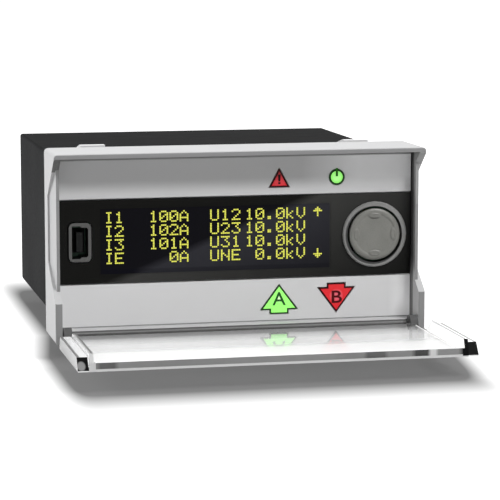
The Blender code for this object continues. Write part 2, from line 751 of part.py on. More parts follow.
def build_nav_cap():
    """Dished button cap with a hub that carries the gimbal."""
    front = PANEL - CAP_PROUD
    under = front + CAP_WEB
    skirt = front + CAP_SKIRT
    hub = PANEL + GIMBAL_BACK - CLEARANCE
    inner = CAP_RADIUS - CAP_WEB
    cap = turned("nav_cap", [(0.0, front + CAP_DISH), (CAP_RADIUS - CAP_RIM, front + CAP_DISH),
                             (CAP_RADIUS - CAP_RIM * 0.6, front), (CAP_RADIUS - CAP_RIM * 0.2, front),
                             (CAP_RADIUS, front + CAP_RIM * 0.2), (CAP_RADIUS, skirt), (inner, skirt),
                             (inner, under + CAP_DISH), (CAP_HUB_OUTER, under + CAP_DISH),
                             (CAP_HUB_OUTER, hub), (CAP_HUB_INNER, hub),
                             (CAP_HUB_INNER, under + CAP_DISH), (0.0, under + CAP_DISH)],
                 NAV_CENTRE, "cap_grey")
    half = TRUNNION_RADIUS + CLEARANCE
    cut(cap, box("cap_trunnion_slot", (NAV_X - half, NAV_X + half),
                 (PANEL + ROCK_SETBACK - half, hub + CLEARANCE),
                 (BAND_CENTRE - CAP_HUB_OUTER - half, BAND_CENTRE + CAP_HUB_OUTER + half)))
    set_origin(cap, (NAV_X, PANEL + ROCK_SETBACK, BAND_CENTRE))
    return cap


def build_nav_gimbal():
    """Ring that tilts on the plunger and carries the cap on two stub pins."""
    y = (PANEL + GIMBAL_FRONT, PANEL + GIMBAL_BACK)
    gimbal = rod("nav_gimbal", "Y", GIMBAL_OUTER, y, NAV_CENTRE, "dark_plastic", 24)
    reach = CAP_HUB_OUTER - CLEARANCE
    join(gimbal, rod("rock_trunnions", "Z", TRUNNION_RADIUS, (BAND_CENTRE - reach, BAND_CENTRE + reach),
                     (NAV_X, PANEL + ROCK_SETBACK), segments=12))
    half = TRUNNION_RADIUS + CLEARANCE
    cut(gimbal, rod("gimbal_bore", "Y", GIMBAL_INNER, (y[0] - CLEARANCE, y[1] + CLEARANCE), NAV_CENTRE,
                    segments=24),
        box("gimbal_slot", (NAV_X - GIMBAL_OUTER - half, NAV_X + GIMBAL_OUTER + half),
            (PANEL + TILT_SETBACK - half, y[1] + CLEARANCE), (BAND_CENTRE - half, BAND_CENTRE + half)))
    set_origin(gimbal, (NAV_X, PANEL + TILT_SETBACK, BAND_CENTRE))
    return gimbal


def build_nav_plunger():
    """Stem in the switch, with a head whose stub pins carry the gimbal."""
    head_front = PANEL + TILT_SETBACK - TRUNNION_RADIUS - CLEARANCE
    head_back = PANEL + TILT_SETBACK + TRUNNION_RADIUS + CLEARANCE / 2
    end = BOARD - CLEARANCE - PLUNGER_SEAT - NAV_TRAVEL
    plunger = turned("nav_plunger", [(0.0, head_front), (PLUNGER_HEAD, head_front),
                                     (PLUNGER_HEAD, head_back), (PLUNGER_STEM, head_back),
                                     (PLUNGER_STEM, end), (0.0, end)], NAV_CENTRE, "dark_plastic", 24)
    reach = GIMBAL_OUTER - CLEARANCE
    join(plunger, rod("tilt_trunnions", "X", TRUNNION_RADIUS, (NAV_X - reach, NAV_X + reach),
                      (PANEL + TILT_SETBACK, BAND_CENTRE), segments=12))
    return plunger


def build_nav_switch():
    """Switch body on the board, with a blind guide bore for the plunger."""
    back = BOARD - CLEARANCE
    y = (back - SWITCH_HEIGHT, back)
    half = SWITCH_SIZE / 2
    switch = box("nav_switch", *frame_around(half, half, y, NAV_CENTRE), "dark_plastic")
    floor = back - PLUNGER_SEAT + CLEARANCE
    cut(switch, rod("plunger_bore", "Y", PLUNGER_STEM + CLEARANCE, (y[0] - CLEARANCE, floor), NAV_CENTRE,
                    segments=24))
    round_edges(switch, CLEARANCE, 1)
    return switch


def build_front_board():
    """Circuit board screwed to the back of the web."""
    half_x = HOUSING_HALF_X - BOARD_MARGIN
    half_z = HOUSING_HALF_Z - BOARD_MARGIN
    board = box("front_board", *frame_around(half_x, half_z, (BOARD, BOARD_BACK)), "board_green")
    for side in (-1, 1):
        for end in (-1, 1):
            cut(board, board_screw_hole(side, end, "board_screw_hole", BOARD - CLEARANCE,
                                        BOARD_BACK + CLEARANCE))
    return board


def build_board_screws():
    head = BOARD_BACK + CLEARANCE
    number = 0
    for side in (-1, 1):
        for end in (-1, 1):
            number += 1
            turned("board_screw_%d" % number,
                   [(0.0, WEB + CLEARANCE), (SCREW_RADIUS, WEB + CLEARANCE), (SCREW_RADIUS, head),
                    (SCREW_HEAD_RADIUS, head), (SCREW_HEAD_RADIUS, head + SCREW_HEAD_HEIGHT),
                    (0.0, head + SCREW_HEAD_HEIGHT)],
                   board_screw_place(side, end), "steel", SMALL_ROUND)


def cover_screw_place(side, end):
    inset = BOSS_SIZE / 2
    return (side * (INSIDE_X - inset), end * (INSIDE_Z - inset))


def build_housing():
    """Black box: open at both ends, with corner bosses, card guides and clamp slots."""
    housing = box("housing", *frame_around(HOUSING_HALF_X, HOUSING_HALF_Z,
                                           (HOUSING_FRONT, HOUSING_LENGTH)), "black_housing")
    round_edges(housing, HOUSING_CORNER, 2)
    cut(housing, box("housing_inside", *frame_around(
        INSIDE_X, INSIDE_Z, (HOUSING_FRONT - CLEARANCE, HOUSING_LENGTH + CLEARANCE))))
    boss_back = COVER_FRONT - CLEARANCE
    sink = HOUSING_WALL / 2
    for side in (-1, 1):
        for end in (-1, 1):
            x = sorted((side * (INSIDE_X - BOSS_SIZE), side * (INSIDE_X + sink)))
            z = sorted((end * (INSIDE_Z - BOSS_SIZE), end * (INSIDE_Z + sink)))
            join(housing, box("cover_boss", x, (boss_back - BOSS_LENGTH, boss_back), z))
            cut(housing, rod("boss_hole", "Y", COVER_SCREW_RADIUS + PIN_CLEARANCE,
                             (boss_back - BOSS_LENGTH + CLEARANCE, boss_back + CLEARANCE),
                             cover_screw_place(side, end), segments=SMALL_ROUND))
        for level in (MAIN_BOARD_Z, POWER_BOARD_Z):
            for low in (level - CLEARANCE - GUIDE_RIB, level + BOARD_THICKNESS + CLEARANCE):
                x = sorted((side * (INSIDE_X - GUIDE_REACH), side * (INSIDE_X + sink)))
                join(housing, box("card_guide", x, card_span(), (low, low + GUIDE_RIB)))
    for side in (-1, 1):
        for end in (-1, 1):
            cut(housing, clamp_slot(side, end))
    return housing


def card_span():
    """Front and back of the boards that slide in the housing."""
    return (BOARD_BACK + CONNECTOR_LENGTH + 2 * CLEARANCE,
            COVER_FRONT - BOSS_LENGTH - CARD_BACK_GAP)


def build_cards():
    """Main and power boards in the card guides, and the connector to the front board."""
    half_x = INSIDE_X - CLEARANCE
    for name, level in (("main_board", MAIN_BOARD_Z), ("power_board", POWER_BOARD_Z)):
        front, back = card_span()
        tail = COVER_FRONT - CLEARANCE
        card = box(name, (-half_x, half_x), (front, back), (level, level + BOARD_THICKNESS),
                   "board_green")
        narrow = INSIDE_X - BOSS_SIZE - CLEARANCE
        join(card, box(name + "_tail", (-narrow, narrow), (back - CARD_BACK_GAP, tail),
                       (level, level + BOARD_THICKNESS)))
    box("board_connector", (-CONNECTOR_WIDTH / 2, CONNECTOR_WIDTH / 2),
        (BOARD_BACK + CLEARANCE, BOARD_BACK + CLEARANCE + CONNECTOR_LENGTH),
        (MAIN_BOARD_Z - CONNECTOR_HEIGHT / 2, MAIN_BOARD_Z + CONNECTOR_HEIGHT / 2), "dark_plastic")


def build_inner_components():
    """Supply transformer, storage capacitor and output relays in rows on the power board."""
    seat = POWER_BOARD_Z + BOARD_THICKNESS + CLEARANCE
    side = INSIDE_X - GUIDE_REACH - COMPONENT_GAP
    front = card_span()[0] + COMPONENT_SETBACK
    core = box("supply_transformer", (-side, TRANSFORMER_WIDTH - side), (front, front + TRANSFORMER_LENGTH),
               (seat, MAIN_BOARD_Z - TRANSFORMER_HEADROOM), "copper_core")
    round_edges(core, CLEARANCE * 2, 1)
    radius = (MAIN_BOARD_Z - CAPACITOR_HEADROOM - seat) / 2
    rod("storage_capacitor", "Y", radius, (front, front + CAPACITOR_LENGTH), (side - radius, seat + radius),
        "dark_plastic", 24)
    row = front + TRANSFORMER_LENGTH + 2 * COMPONENT_GAP
    pitch = (2 * side - OUTPUT_RELAY_WIDTH) / (OUTPUT_RELAYS - 1)
    for number in range(OUTPUT_RELAYS):
        x = number * pitch - side
        box("output_relay_%d" % (number + 1), (x, x + OUTPUT_RELAY_WIDTH), (row, row + OUTPUT_RELAY_LENGTH),
            (seat, MAIN_BOARD_Z - OUTPUT_RELAY_HEADROOM), "dark_plastic")


def terminal_rows():
    """Name, first x, number of ways and seat height of each terminal block between the bosses."""
    upper = MAIN_BOARD_Z + BOARD_THICKNESS + CLEARANCE
    lower = POWER_BOARD_Z + BOARD_THICKNESS + CLEARANCE
    width = 2 * (INSIDE_X - BOSS_SIZE - CLEARANCE)
    upper_ways = int(width / TERMINAL_PITCH)
    lower_ways = int((width - LOWER_TERMINAL_GAP) / TERMINAL_PITCH)
    left_ways = lower_ways * 2 // 3
    lower_start = -(lower_ways * TERMINAL_PITCH + LOWER_TERMINAL_GAP) / 2
    right_start = lower_start + left_ways * TERMINAL_PITCH + LOWER_TERMINAL_GAP
    return (("terminal_block_upper", -upper_ways * TERMINAL_PITCH / 2, upper_ways, upper),
            ("terminal_block_lower_left", lower_start, left_ways, lower),
            ("terminal_block_lower_right", right_start, lower_ways - left_ways, lower))


def build_terminal_block(name, start, ways, seat):
    """Stepped terminal block with a wire entry in its face and a screw well in its step."""
    end = start + ways * TERMINAL_PITCH
    back = COVER_BACK + TERMINAL_PROUD
    front = back - TERMINAL_DEPTH
    top = seat + TERMINAL_HEIGHT
    step_y = back - TERMINAL_STEP_DEPTH
    step_z = top - TERMINAL_STEP
    outline = [(front, seat), (back, seat), (back, step_z), (step_y, top), (front, top)]
    block = extrude_outline(name, outline, (start, end), "YZ", "terminal_green")
    for way in range(ways):
        x = start + (way + 0.5) * TERMINAL_PITCH
        half = WIRE_ENTRY / 2
        middle = (seat + step_z) / 2
        cut(block, box(name + "_entry", (x - half, x + half), (back - WIRE_ENTRY_DEPTH, back + CLEARANCE),
                       (middle - half, middle + half)),
            rod(name + "_screw_well", "Z", SCREW_SHAFT_RADIUS, (top - SCREW_SHAFT_DEPTH, top + CLEARANCE),
                (x, (COVER_BACK + step_y) / 2), segments=12))
    return block


def build_rear_cover():
    """Cover plate inside the housing's rear end, open round the terminal blocks."""
    cover = box("rear_cover", *frame_around(INSIDE_X - CLEARANCE, INSIDE_Z - CLEARANCE,
                                            (COVER_FRONT, COVER_BACK)), "black_housing")
    through = (COVER_FRONT - CLEARANCE, COVER_BACK + CLEARANCE)
    for name, start, ways, seat in terminal_rows():
        end = start + ways * TERMINAL_PITCH
        cut(cover, box(name + "_opening", (start - CLEARANCE, end + CLEARANCE), through,
                       (seat - CLEARANCE, seat + TERMINAL_HEIGHT + CLEARANCE)))
    for side in (-1, 1):
        for end in (-1, 1):
            centre = cover_screw_place(side, end)
            cut(cover, rod("cover_hole", "Y", COVER_SCREW_RADIUS + PIN_CLEARANCE, through, centre,
                           segments=SMALL_ROUND),
                rod("cover_recess", "Y", COVER_SCREW_HEAD + CLEARANCE,
                    (COVER_BACK - COVER_SCREW_RECESS, COVER_BACK + CLEARANCE), centre, segments=24))
    return cover


def build_cover_screws():
    seat = COVER_BACK - COVER_SCREW_RECESS + CLEARANCE
    number = 0
    for side in (-1, 1):
        for end in (-1, 1):
            number += 1
            screw = turned("cover_screw_%d" % number,
                           [(0.0, seat - COVER_SCREW_LENGTH), (COVER_SCREW_RADIUS, seat - COVER_SCREW_LENGTH),
                            (COVER_SCREW_RADIUS, seat), (COVER_SCREW_HEAD, seat),
                            (COVER_SCREW_HEAD, seat + COVER_SCREW_HEAD_HEIGHT),
                            (0.0, seat + COVER_SCREW_HEAD_HEIGHT)],
                           cover_screw_place(side, end), "steel", 24)
            centre = cover_screw_place(side, end)
            half = COVER_SCREW_RADIUS / 4
            cut(screw, box("screw_slot", (centre[0] - COVER_SCREW_HEAD, centre[0] + COVER_SCREW_HEAD),
                           (seat + COVER_SCREW_HEAD_HEIGHT / 2, seat + 2 * COVER_SCREW_HEAD_HEIGHT),
                           (centre[1] - half, centre[1] + half)))


def clamp_tenon_span():
    start = CLAMP_SETBACK + (CLAMP_FOOT_LENGTH - CLAMP_TENON_LENGTH) / 2
    return (start, start + CLAMP_TENON_LENGTH)


def clamp_slot(side, end):
    """Slot in the housing wall for a clamp's tenon."""
    first, last = clamp_tenon_span()
    half = CLAMP_TENON_WIDTH / 2 + CLEARANCE
    z = sorted((end * (HOUSING_HALF_Z - CLAMP_TENON - CLEARANCE), end * (HOUSING_HALF_Z + CLEARANCE)))
    return box("clamp_slot", (side * CLAMP_X - half, side * CLAMP_X + half),
               (first - CLEARANCE, last + CLEARANCE), z)


def build_clamp(name, side, end):
    """Panel clamp: a raised jaw on a sloping foot, with a tenon in the housing wall."""
    base = HOUSING_HALF_Z + CLEARANCE
    top = base + CLAMP_RISE
    toe = CLAMP_SETBACK + CLAMP_FOOT_LENGTH
    outline = [(CLAMP_SETBACK, base), (toe, base), (toe, base + CLAMP_FOOT / 2),
               (CLAMP_SETBACK + CLAMP_LAND, top), (CLAMP_SETBACK, top)]
    outline = [(y, end * z) for y, z in outline]
    if end < 0:
        outline.reverse()
    half = CLAMP_WIDTH / 2
    clamp = extrude_outline(name, outline, (side * CLAMP_X - half, side * CLAMP_X + half), "YZ",
                            "light_grey")
    first, last = clamp_tenon_span()
    half = CLAMP_TENON_WIDTH / 2
    z = sorted((end * (HOUSING_HALF_Z - CLAMP_TENON + CLEARANCE), end * (base + CLAMP_FOOT / 2)))
    join(clamp, box(name + "_tenon", (side * CLAMP_X - half, side * CLAMP_X + half), (first, last), z))
    return clamp


def build_clamps():
    for side, side_name in ((-1, "left"), (1, "right")):
        for end, end_name in ((1, "top"), (-1, "bottom")):
            build_clamp("panel_clamp_%s_%s" % (end_name, side_name), side, end)


def rail_outline(height):
    """Side view of a door rail: both ends lean, and the free end clears the notch when shut."""
    start = HINGE_Y - RAIL_START
    lean = RAIL_LEAN * height / RAIL_HEIGHT
    slope = (HOOD_Z - NOTCH_TOP) / NOTCH_DEPTH
    foot = HOOD_Z - HINGE_Z - CLEARANCE - slope * (HINGE_SETBACK - DOOR_DROP)
    return [(HINGE_Y - foot, DOOR_BASE), (start, DOOR_BASE), (start - lean, DOOR_BASE + height),
            (HINGE_Y - foot + slope * height, DOOR_BASE + height)]


def rib_outline():
    """Side view of the inner rib, which runs the rail's length and stops at the end lip."""
    start = HINGE_Y - RAIL_START
    end = DOOR_END + RIB_SETBACK
    top = DOOR_BASE + RIB_HEIGHT
    return [(DOOR_END, DOOR_BASE), (start, DOOR_BASE), (start, DOOR_BASE + DOOR_SKIN),
            (start - RIB_RUN_IN, top), (end, top), (DOOR_END, DOOR_BASE + LIP_HEIGHT)]


def build_door_side(door, side):
    """Outer rail, inner rib, the web between them, and the hinge ear of one side."""
    half = DOOR_WIDTH / 2
    ear_far = INNER_HALF - CLEARANCE
    inner = ear_far - RIB_WIDTH
    rail = extrude_outline("door_rail", rail_outline(RAIL_HEIGHT),
                           sorted((side * (half - RAIL_WIDTH), side * half)), "YZ")
    web = extrude_outline("door_rail_web", rail_outline(DOOR_SKIN),
                          sorted((side * (inner + RIB_WIDTH / 2), side * (half - RAIL_WIDTH / 2))), "YZ")
    rib = extrude_outline("door_rib", rib_outline(), sorted((side * inner, side * ear_far)), "YZ")
    ear_x = sorted((side * (ear_far - EAR_WIDTH), side * ear_far))
    ear = rod("door_ear", "X", EAR_RADIUS, ear_x, (HINGE_Y, HINGE_Z), segments=24)
    cut(ear, box("ear_flat", (ear_x[0] - CLEARANCE, ear_x[1] + CLEARANCE),
                 (HINGE_Y - 2 * EAR_RADIUS, HINGE_Y + 2 * EAR_RADIUS),
                 (HINGE_Z - 2 * EAR_RADIUS, DOOR_BASE)))
    join(door, web, rail, rib, ear)
    cut(door, pin_hole(side, "door", ear_far - EAR_WIDTH - PIN_STEP - CLEARANCE, INNER_HALF))


def build_door():
    """Clear moulded door: thin skin, end lip, side rails with inner ribs, and hinge ears."""
    inner = INNER_HALF - CLEARANCE - RIB_WIDTH
    rear = FRONT + FLOOR_SETBACK - CLEARANCE
    door = box("door", (-inner - RIB_WIDTH / 2, inner + RIB_WIDTH / 2), (DOOR_END, rear),
               (DOOR_BASE, DOOR_BASE + DOOR_SKIN), "clear")
    join(door, box("door_lip", (-inner - RIB_WIDTH / 2, inner + RIB_WIDTH / 2),
                   (DOOR_END, DOOR_END + LIP_THICKNESS), (DOOR_BASE, DOOR_BASE + LIP_HEIGHT)))
    for side in (-1, 1):
        build_door_side(door, side)
    set_origin(door, (0.0, HINGE_Y, HINGE_Z))
    return door


def build_hinge_pins():
    """Steel pins seated in the cheeks, on which the door's ears turn."""
    for side, name in ((-1, "hinge_pin_left"), (1, "hinge_pin_right")):
        near = INNER_HALF - CLEARANCE - EAR_WIDTH - PIN_STEP
        rod(name, "X", PIN_RADIUS, sorted((side * near, side * (INNER_HALF + PIN_SEAT))),
            (HINGE_Y, HINGE_Z), "steel", SMALL_ROUND)


def shade_round_parts():
    """Smooth shading with sharp edges kept."""
    for item in parts.objects:
        item.data.shade_smooth()
        item.data.set_sharp_from_angle(angle=math.radians(30))


def main():
    start_scene()
    build_bezel()
    build_seal()
    build_face_plate()
    build_window_band()
    build_display()
    build_lenses()
    build_socket()
    build_nav_ring()
    build_nav_cap()
    build_nav_gimbal()
    build_nav_plunger()
    build_nav_switch()
    build_front_board()
    build_board_screws()
    build_housing()
    build_cards()
    build_inner_components()
    for row in terminal_rows():
        build_terminal_block(*row)
    build_rear_cover()
    build_cover_screws()
    build_clamps()
    build_door()
    build_hinge_pins()
    shade_round_parts()


main()
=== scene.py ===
# Panel-mounted protection relay with its clear door folded down.
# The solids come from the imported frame; this file dresses them, lights them and sets the camera.
import math

import bmesh
import bpy
from mathutils import Matrix, Vector


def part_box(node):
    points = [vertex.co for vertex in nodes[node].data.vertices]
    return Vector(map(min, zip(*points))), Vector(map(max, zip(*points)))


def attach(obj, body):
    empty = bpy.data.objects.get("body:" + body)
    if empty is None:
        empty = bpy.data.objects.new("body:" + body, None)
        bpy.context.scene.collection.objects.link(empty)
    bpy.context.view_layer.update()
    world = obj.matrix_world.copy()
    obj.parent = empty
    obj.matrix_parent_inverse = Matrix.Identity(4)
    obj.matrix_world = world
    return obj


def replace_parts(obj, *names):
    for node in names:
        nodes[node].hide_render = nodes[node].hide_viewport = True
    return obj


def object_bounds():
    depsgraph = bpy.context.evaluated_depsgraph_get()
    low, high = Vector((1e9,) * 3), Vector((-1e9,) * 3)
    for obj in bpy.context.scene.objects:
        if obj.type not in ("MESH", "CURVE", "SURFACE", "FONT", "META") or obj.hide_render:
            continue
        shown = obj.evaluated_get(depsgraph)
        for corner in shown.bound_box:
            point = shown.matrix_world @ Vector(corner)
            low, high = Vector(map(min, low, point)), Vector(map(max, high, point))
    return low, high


mm = 0.001
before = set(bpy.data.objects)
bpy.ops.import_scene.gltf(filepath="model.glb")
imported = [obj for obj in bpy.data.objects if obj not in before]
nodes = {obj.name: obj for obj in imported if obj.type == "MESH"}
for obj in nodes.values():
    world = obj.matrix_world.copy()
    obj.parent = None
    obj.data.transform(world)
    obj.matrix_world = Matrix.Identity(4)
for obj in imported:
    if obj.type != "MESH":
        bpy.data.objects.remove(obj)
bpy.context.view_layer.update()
print("frame loaded:", len(nodes), "solids")


# A number that changes over a surface: the operators add Math nodes
class Level:
    def __init__(self, tree, socket):
        self.tree = tree
        self.socket = socket

    def calc(self, operation, first, second=None):
        node = self.tree.nodes.new("ShaderNodeMath")
        node.operation = operation
        for slot, value in zip(node.inputs, (first, second)):
            if isinstance(value, Level):
                self.tree.links.new(value.socket, slot)
            elif value is not None:
                slot.default_value = value
        return Level(self.tree, node.outputs[0])

    def __add__(self, other):
        return self.calc("ADD", self, other)

    def __radd__(self, other):
        return self.calc("ADD", other, self)

    def __sub__(self, other):
        return self.calc("SUBTRACT", self, other)

    def __rsub__(self, other):
        return self.calc("SUBTRACT", other, self)

    def __mul__(self, other):
        return self.calc("MULTIPLY", self, other)

    def __rmul__(self, other):
        return self.calc("MULTIPLY", other, self)

    def __truediv__(self, other):
        return self.calc("DIVIDE", self, other)

    def __gt__(self, other):
        return self.calc("GREATER_THAN", self, other)

    def __lt__(self, other):
        return self.calc("LESS_THAN", self, other)

    def positive(self):
        return self.calc("MAXIMUM", self, 0.0)

    def clamp(self):
        return self.calc("MINIMUM", self.positive(), 1.0)

    def size(self):
        return self.calc("ABSOLUTE", self)

    def power(self, exponent):
        return self.calc("POWER", self, exponent)

    def ramp(self, low, high):
        # 0 at low, 1 at high, straight between
        return ((self - low) / (high - low)).clamp()


# One material: a shader tree that is filled node by node
class Finish:
    def __init__(self, name):
        self.material = bpy.data.materials.new(name)
        self.material.use_nodes = True
        self.tree = self.material.node_tree
        self.tree.nodes.clear()
        self.output = self.tree.nodes.new("ShaderNodeOutputMaterial")
        self.coords = self.add("ShaderNodeTexCoord")
        self.place = self.coords.outputs["Object"]

    def add(self, kind, settings=None, sockets=None):
        node = self.tree.nodes.new(kind)
        for key, value in (settings or {}).items():
            setattr(node, key, value)
        for key, value in (sockets or {}).items():
            if isinstance(value, Level):
                self.tree.links.new(value.socket, node.inputs[key])
            elif isinstance(value, bpy.types.NodeSocket):
                self.tree.links.new(value, node.inputs[key])
            elif isinstance(value, tuple) and len(value) == 3 and node.inputs[key].type == "RGBA":
                node.inputs[key].default_value = (*value, 1.0)
            else:
                node.inputs[key].default_value = value
        return node

    def level(self, socket):
        return Level(self.tree, socket)

    def axes(self, source=None):
        split = self.add("ShaderNodeSeparateXYZ", None, {0: source or self.place})
        return [self.level(socket) for socket in split.outputs]

    def normals(self):
        return self.axes(self.coords.outputs["Normal"])

    def noise(self, scale, detail=2.0, roughness=0.5, place=None):
        node = self.add("ShaderNodeTexNoise", None, {"Vector": place or self.place, "Scale": scale,
                                                     "Detail": detail, "Roughness": roughness})
        return self.level(node.outputs[0])

    def stretched(self, stretch):
        node = self.add("ShaderNodeMapping", None, {"Vector": self.place, "Scale": stretch})
        return node.outputs[0]

    def blend(self, mask, first, second):
        node = self.add("ShaderNodeMix", {"data_type": "RGBA"}, {0: mask, 6: first, 7: second})
        return node.outputs[2]

    def bump(self, height, strength, distance):
        node = self.add("ShaderNodeBump", None, {"Height": height, "Strength": strength,
                                                 "Distance": distance})
        return node.outputs[0]

    def either(self, share, first, second):
        # shows the first shader where the share is 0 and the second where it is 1
        return self.add("ShaderNodeMixShader", None, {0: share, 1: first.outputs[0], 2: second.outputs[0]})

    def shade(self, sockets):
        self.close(self.add("ShaderNodeBsdfPrincipled", None, sockets))

    def close(self, shader):
        self.tree.links.new(shader.outputs[0], self.output.inputs["Surface"])


def paint(material, *names):
    for name in names:
        slots = nodes[name].data.materials if name in nodes else bpy.data.objects[name].data.materials
        slots.clear()
        slots.append(material)


def newPiece(name, shape, body, material, smooth=False):
    mesh = bpy.data.meshes.new(name)
    shape.to_mesh(mesh)
    shape.free()
    piece = bpy.data.objects.new(name, mesh)
    bpy.context.scene.collection.objects.link(piece)
    mesh.materials.append(material)
    if smooth:
        mesh.shade_smooth()
        mesh.set_sharp_from_angle(angle=math.radians(35))
    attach(piece, body)
    return piece


def addBlock(shape, low, high):
    made = bmesh.ops.create_cube(shape, size=1.0)
    for vert in made["verts"]:
        for axis in range(3):
            vert.co[axis] = low[axis] if vert.co[axis] < 0 else high[axis]


# Moulded plastics of the case
mouldings = {"collarGrey": (0.60, 0.60, 0.605), "plateGrey": (0.765, 0.765, 0.77),
             "clampGrey": (0.95, 0.95, 0.95), "housingBlack": (0.005, 0.0052, 0.0058),
             "housingWear": (0.011, 0.0112, 0.012), "topPaintedShade": 0.7,
             "cloud": 60.0, "grain": 5200.0, "grainDepth": 0.012 * mm, "bump": 0.35,
             "scuff": 900.0, "scuffStretch": (0.15, 1.0, 1.0), "scuffAmount": 0.16}
# Collar: painted shade on its front edge, on the cheeks' inner faces, in the seam round the plate, under its
# downward slopes and in the joint at its foot, with paler painted light on parts of each
collarLook = {"rimGrey": (0.285, 0.285, 0.287), "rimDepth": 4.5 * mm, "flareGrey": (0.36, 0.36, 0.362),
              "flareFrom": 43 * mm, "flareTop": 22.7 * mm, "flareFoot": 9 * mm,
              "cheekGrey": (0.33, 0.33, 0.333), "cheekFoot": (0.62, 0.62, 0.623), "cheekFrom": 40 * mm,
              "footFrom": -5 * mm, "footTo": -9 * mm, "seamShadowGrey": (0.06, 0.06, 0.06),
              "seamShadowFoot": (0.22, 0.22, 0.22), "seamShadowLeft": (0.14, 0.14, 0.14), "seamWidth": 1.9 * mm,
              "jointShadowGrey": (0.09, 0.09, 0.09), "jointShadowPale": (0.34, 0.34, 0.34), "jointDepth": 2.2 * mm,
              "jointTop": -20.6 * mm, "jointFrom": -21.1 * mm, "jointTo": -21.5 * mm}
# Plate: painted shade under the hood, paler on the right, a painted shadow line along its top and a painted
# glow in the corner low on the right
plateLook = {"hoodFrom": 13.3 * mm, "hoodTo": 16.3 * mm, "hoodDim": 0.27, "hoodPale": (0.90, 0.90, 0.905),
             "hoodLeft": 17 * mm, "hoodRight": 32 * mm,
             "topLine": 21.65 * mm, "topLineHalf": 0.15 * mm, "topShadowGrey": (0.17, 0.17, 0.17),
             "cornerGlow": (0.185, 0.185, 0.185), "cornerFrom": 40 * mm, "cornerTo": 44 * mm,
             "cornerTop": -4 * mm, "cornerFoot": -17 * mm}


def dimmer(colour, amount):
    return tuple(channel * (1 - amount) for channel in colour)


def falling(level, start, stop):
    # 0 at start, 1 at a lower stop
    return (start - level).ramp(0.0, start - stop)


def collarTones(finish, colour):
    x, y, z = finish.axes()
    normalX, normalY, normalZ = finish.normals()
    front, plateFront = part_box("bezel")[0].y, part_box("face_plate")[0].y
    # painted shade on the faces turned forward near the front edge, paler painted light at the right end of
    # the hood
    facing = (normalY < -0.3) * (normalZ < 0.3) * (y < front + collarLook["rimDepth"])
    flare = (x > collarLook["flareFrom"]) * (z < collarLook["flareTop"]) * (z > collarLook["flareFoot"])
    colour = finish.blend(facing, colour, finish.blend(flare, collarLook["rimGrey"], collarLook["flareGrey"]))
    # painted shade on the right cheek's inner faces, paler painted light towards their foot
    inward = (normalX < -0.6) * (x > collarLook["cheekFrom"])
    atFoot = falling(z, collarLook["footFrom"], collarLook["footTo"])
    cheek = finish.blend(atFoot, collarLook["cheekGrey"], collarLook["cheekFoot"])
    colour = finish.blend(inward, colour, cheek)
    # painted shadow in the seam beside the plate and under the downward sloping faces
    seam = inward * (y > plateFront - collarLook["seamWidth"])
    under = facing * (normalZ < -0.3) * (z > 0) * (1 - flare)
    seamShadowTone = finish.blend(atFoot, collarLook["seamShadowGrey"], collarLook["seamShadowFoot"])
    seamShadowTone = finish.blend(x < -collarLook["cheekFrom"], seamShadowTone, collarLook["seamShadowLeft"])
    colour = finish.blend((seam + under).clamp(), colour, seamShadowTone)
    # painted shadow in the joint at the foot, paler at its lowest part
    joint = facing * (y > front + collarLook["jointDepth"]) * (z < collarLook["jointTop"])
    foot = falling(z, collarLook["jointFrom"], collarLook["jointTo"])
    jointShadowTone = finish.blend(foot, collarLook["jointShadowGrey"], collarLook["jointShadowPale"])
    return {"Base Color": finish.blend(joint, colour, jointShadowTone)}


def plateTones(finish, colour):
    x, y, z = finish.axes()
    # painted shade under the hood, dimmed on the left and paler painted light on the right
    under = z.ramp(plateLook["hoodFrom"], plateLook["hoodTo"])
    right = x.ramp(plateLook["hoodLeft"], plateLook["hoodRight"])
    shade = finish.blend(right, dimmer(mouldings["plateGrey"], plateLook["hoodDim"]), plateLook["hoodPale"])
    colour = finish.blend(under, colour, shade)
    # a painted shadow line along the top, under the hood's edge
    top, half = plateLook["topLine"], plateLook["topLineHalf"]
    line = z.ramp(top - half, top + half)
    # painted glow: the cheek throws light back into the corner
    corner = (x.ramp(plateLook["cornerFrom"], plateLook["cornerTo"])
              * falling(z, plateLook["cornerTop"], plateLook["cornerFoot"]))
    return {"Base Color": finish.blend(line, colour, plateLook["topShadowGrey"]),
            "Emission Color": finish.blend(corner, (0.0, 0.0, 0.0), plateLook["cornerGlow"]),
            "Emission Strength": 1.0}


def housingTones(finish, colour):
    # painted shade: the top faces are darkened towards black
    above = finish.normals()[2] > 0.7
    return {"Base Color": finish.blend(above * mouldings["topPaintedShade"], colour, (0.0, 0.0, 0.0))}


def mouldedPlastic(name, light, dark, roughness, grain=1.0, sheen=0.5, tones=None):
    finish = Finish(name)
    cloud = finish.noise(mouldings["cloud"], 3.0)
    fine = finish.noise(mouldings["grain"], 2.0, 0.7)
    scuff = finish.noise(mouldings["scuff"], 4.0, 0.6, finish.stretched(mouldings["scuffStretch"]))
    height = fine * 0.6 + cloud * 0.4
    look = {"Base Color": finish.blend((cloud * 0.7 + fine * 0.3).ramp(0.35, 0.65), dark, light),
            "Roughness": roughness + (scuff - 0.5) * mouldings["scuffAmount"],
            "Normal": finish.bump(height, mouldings["bump"] * grain, mouldings["grainDepth"]),
            "Specular IOR Level": sheen}
    if tones:
        look.update(tones(finish, look["Base Color"]))
    finish.shade(look)
    return finish.material


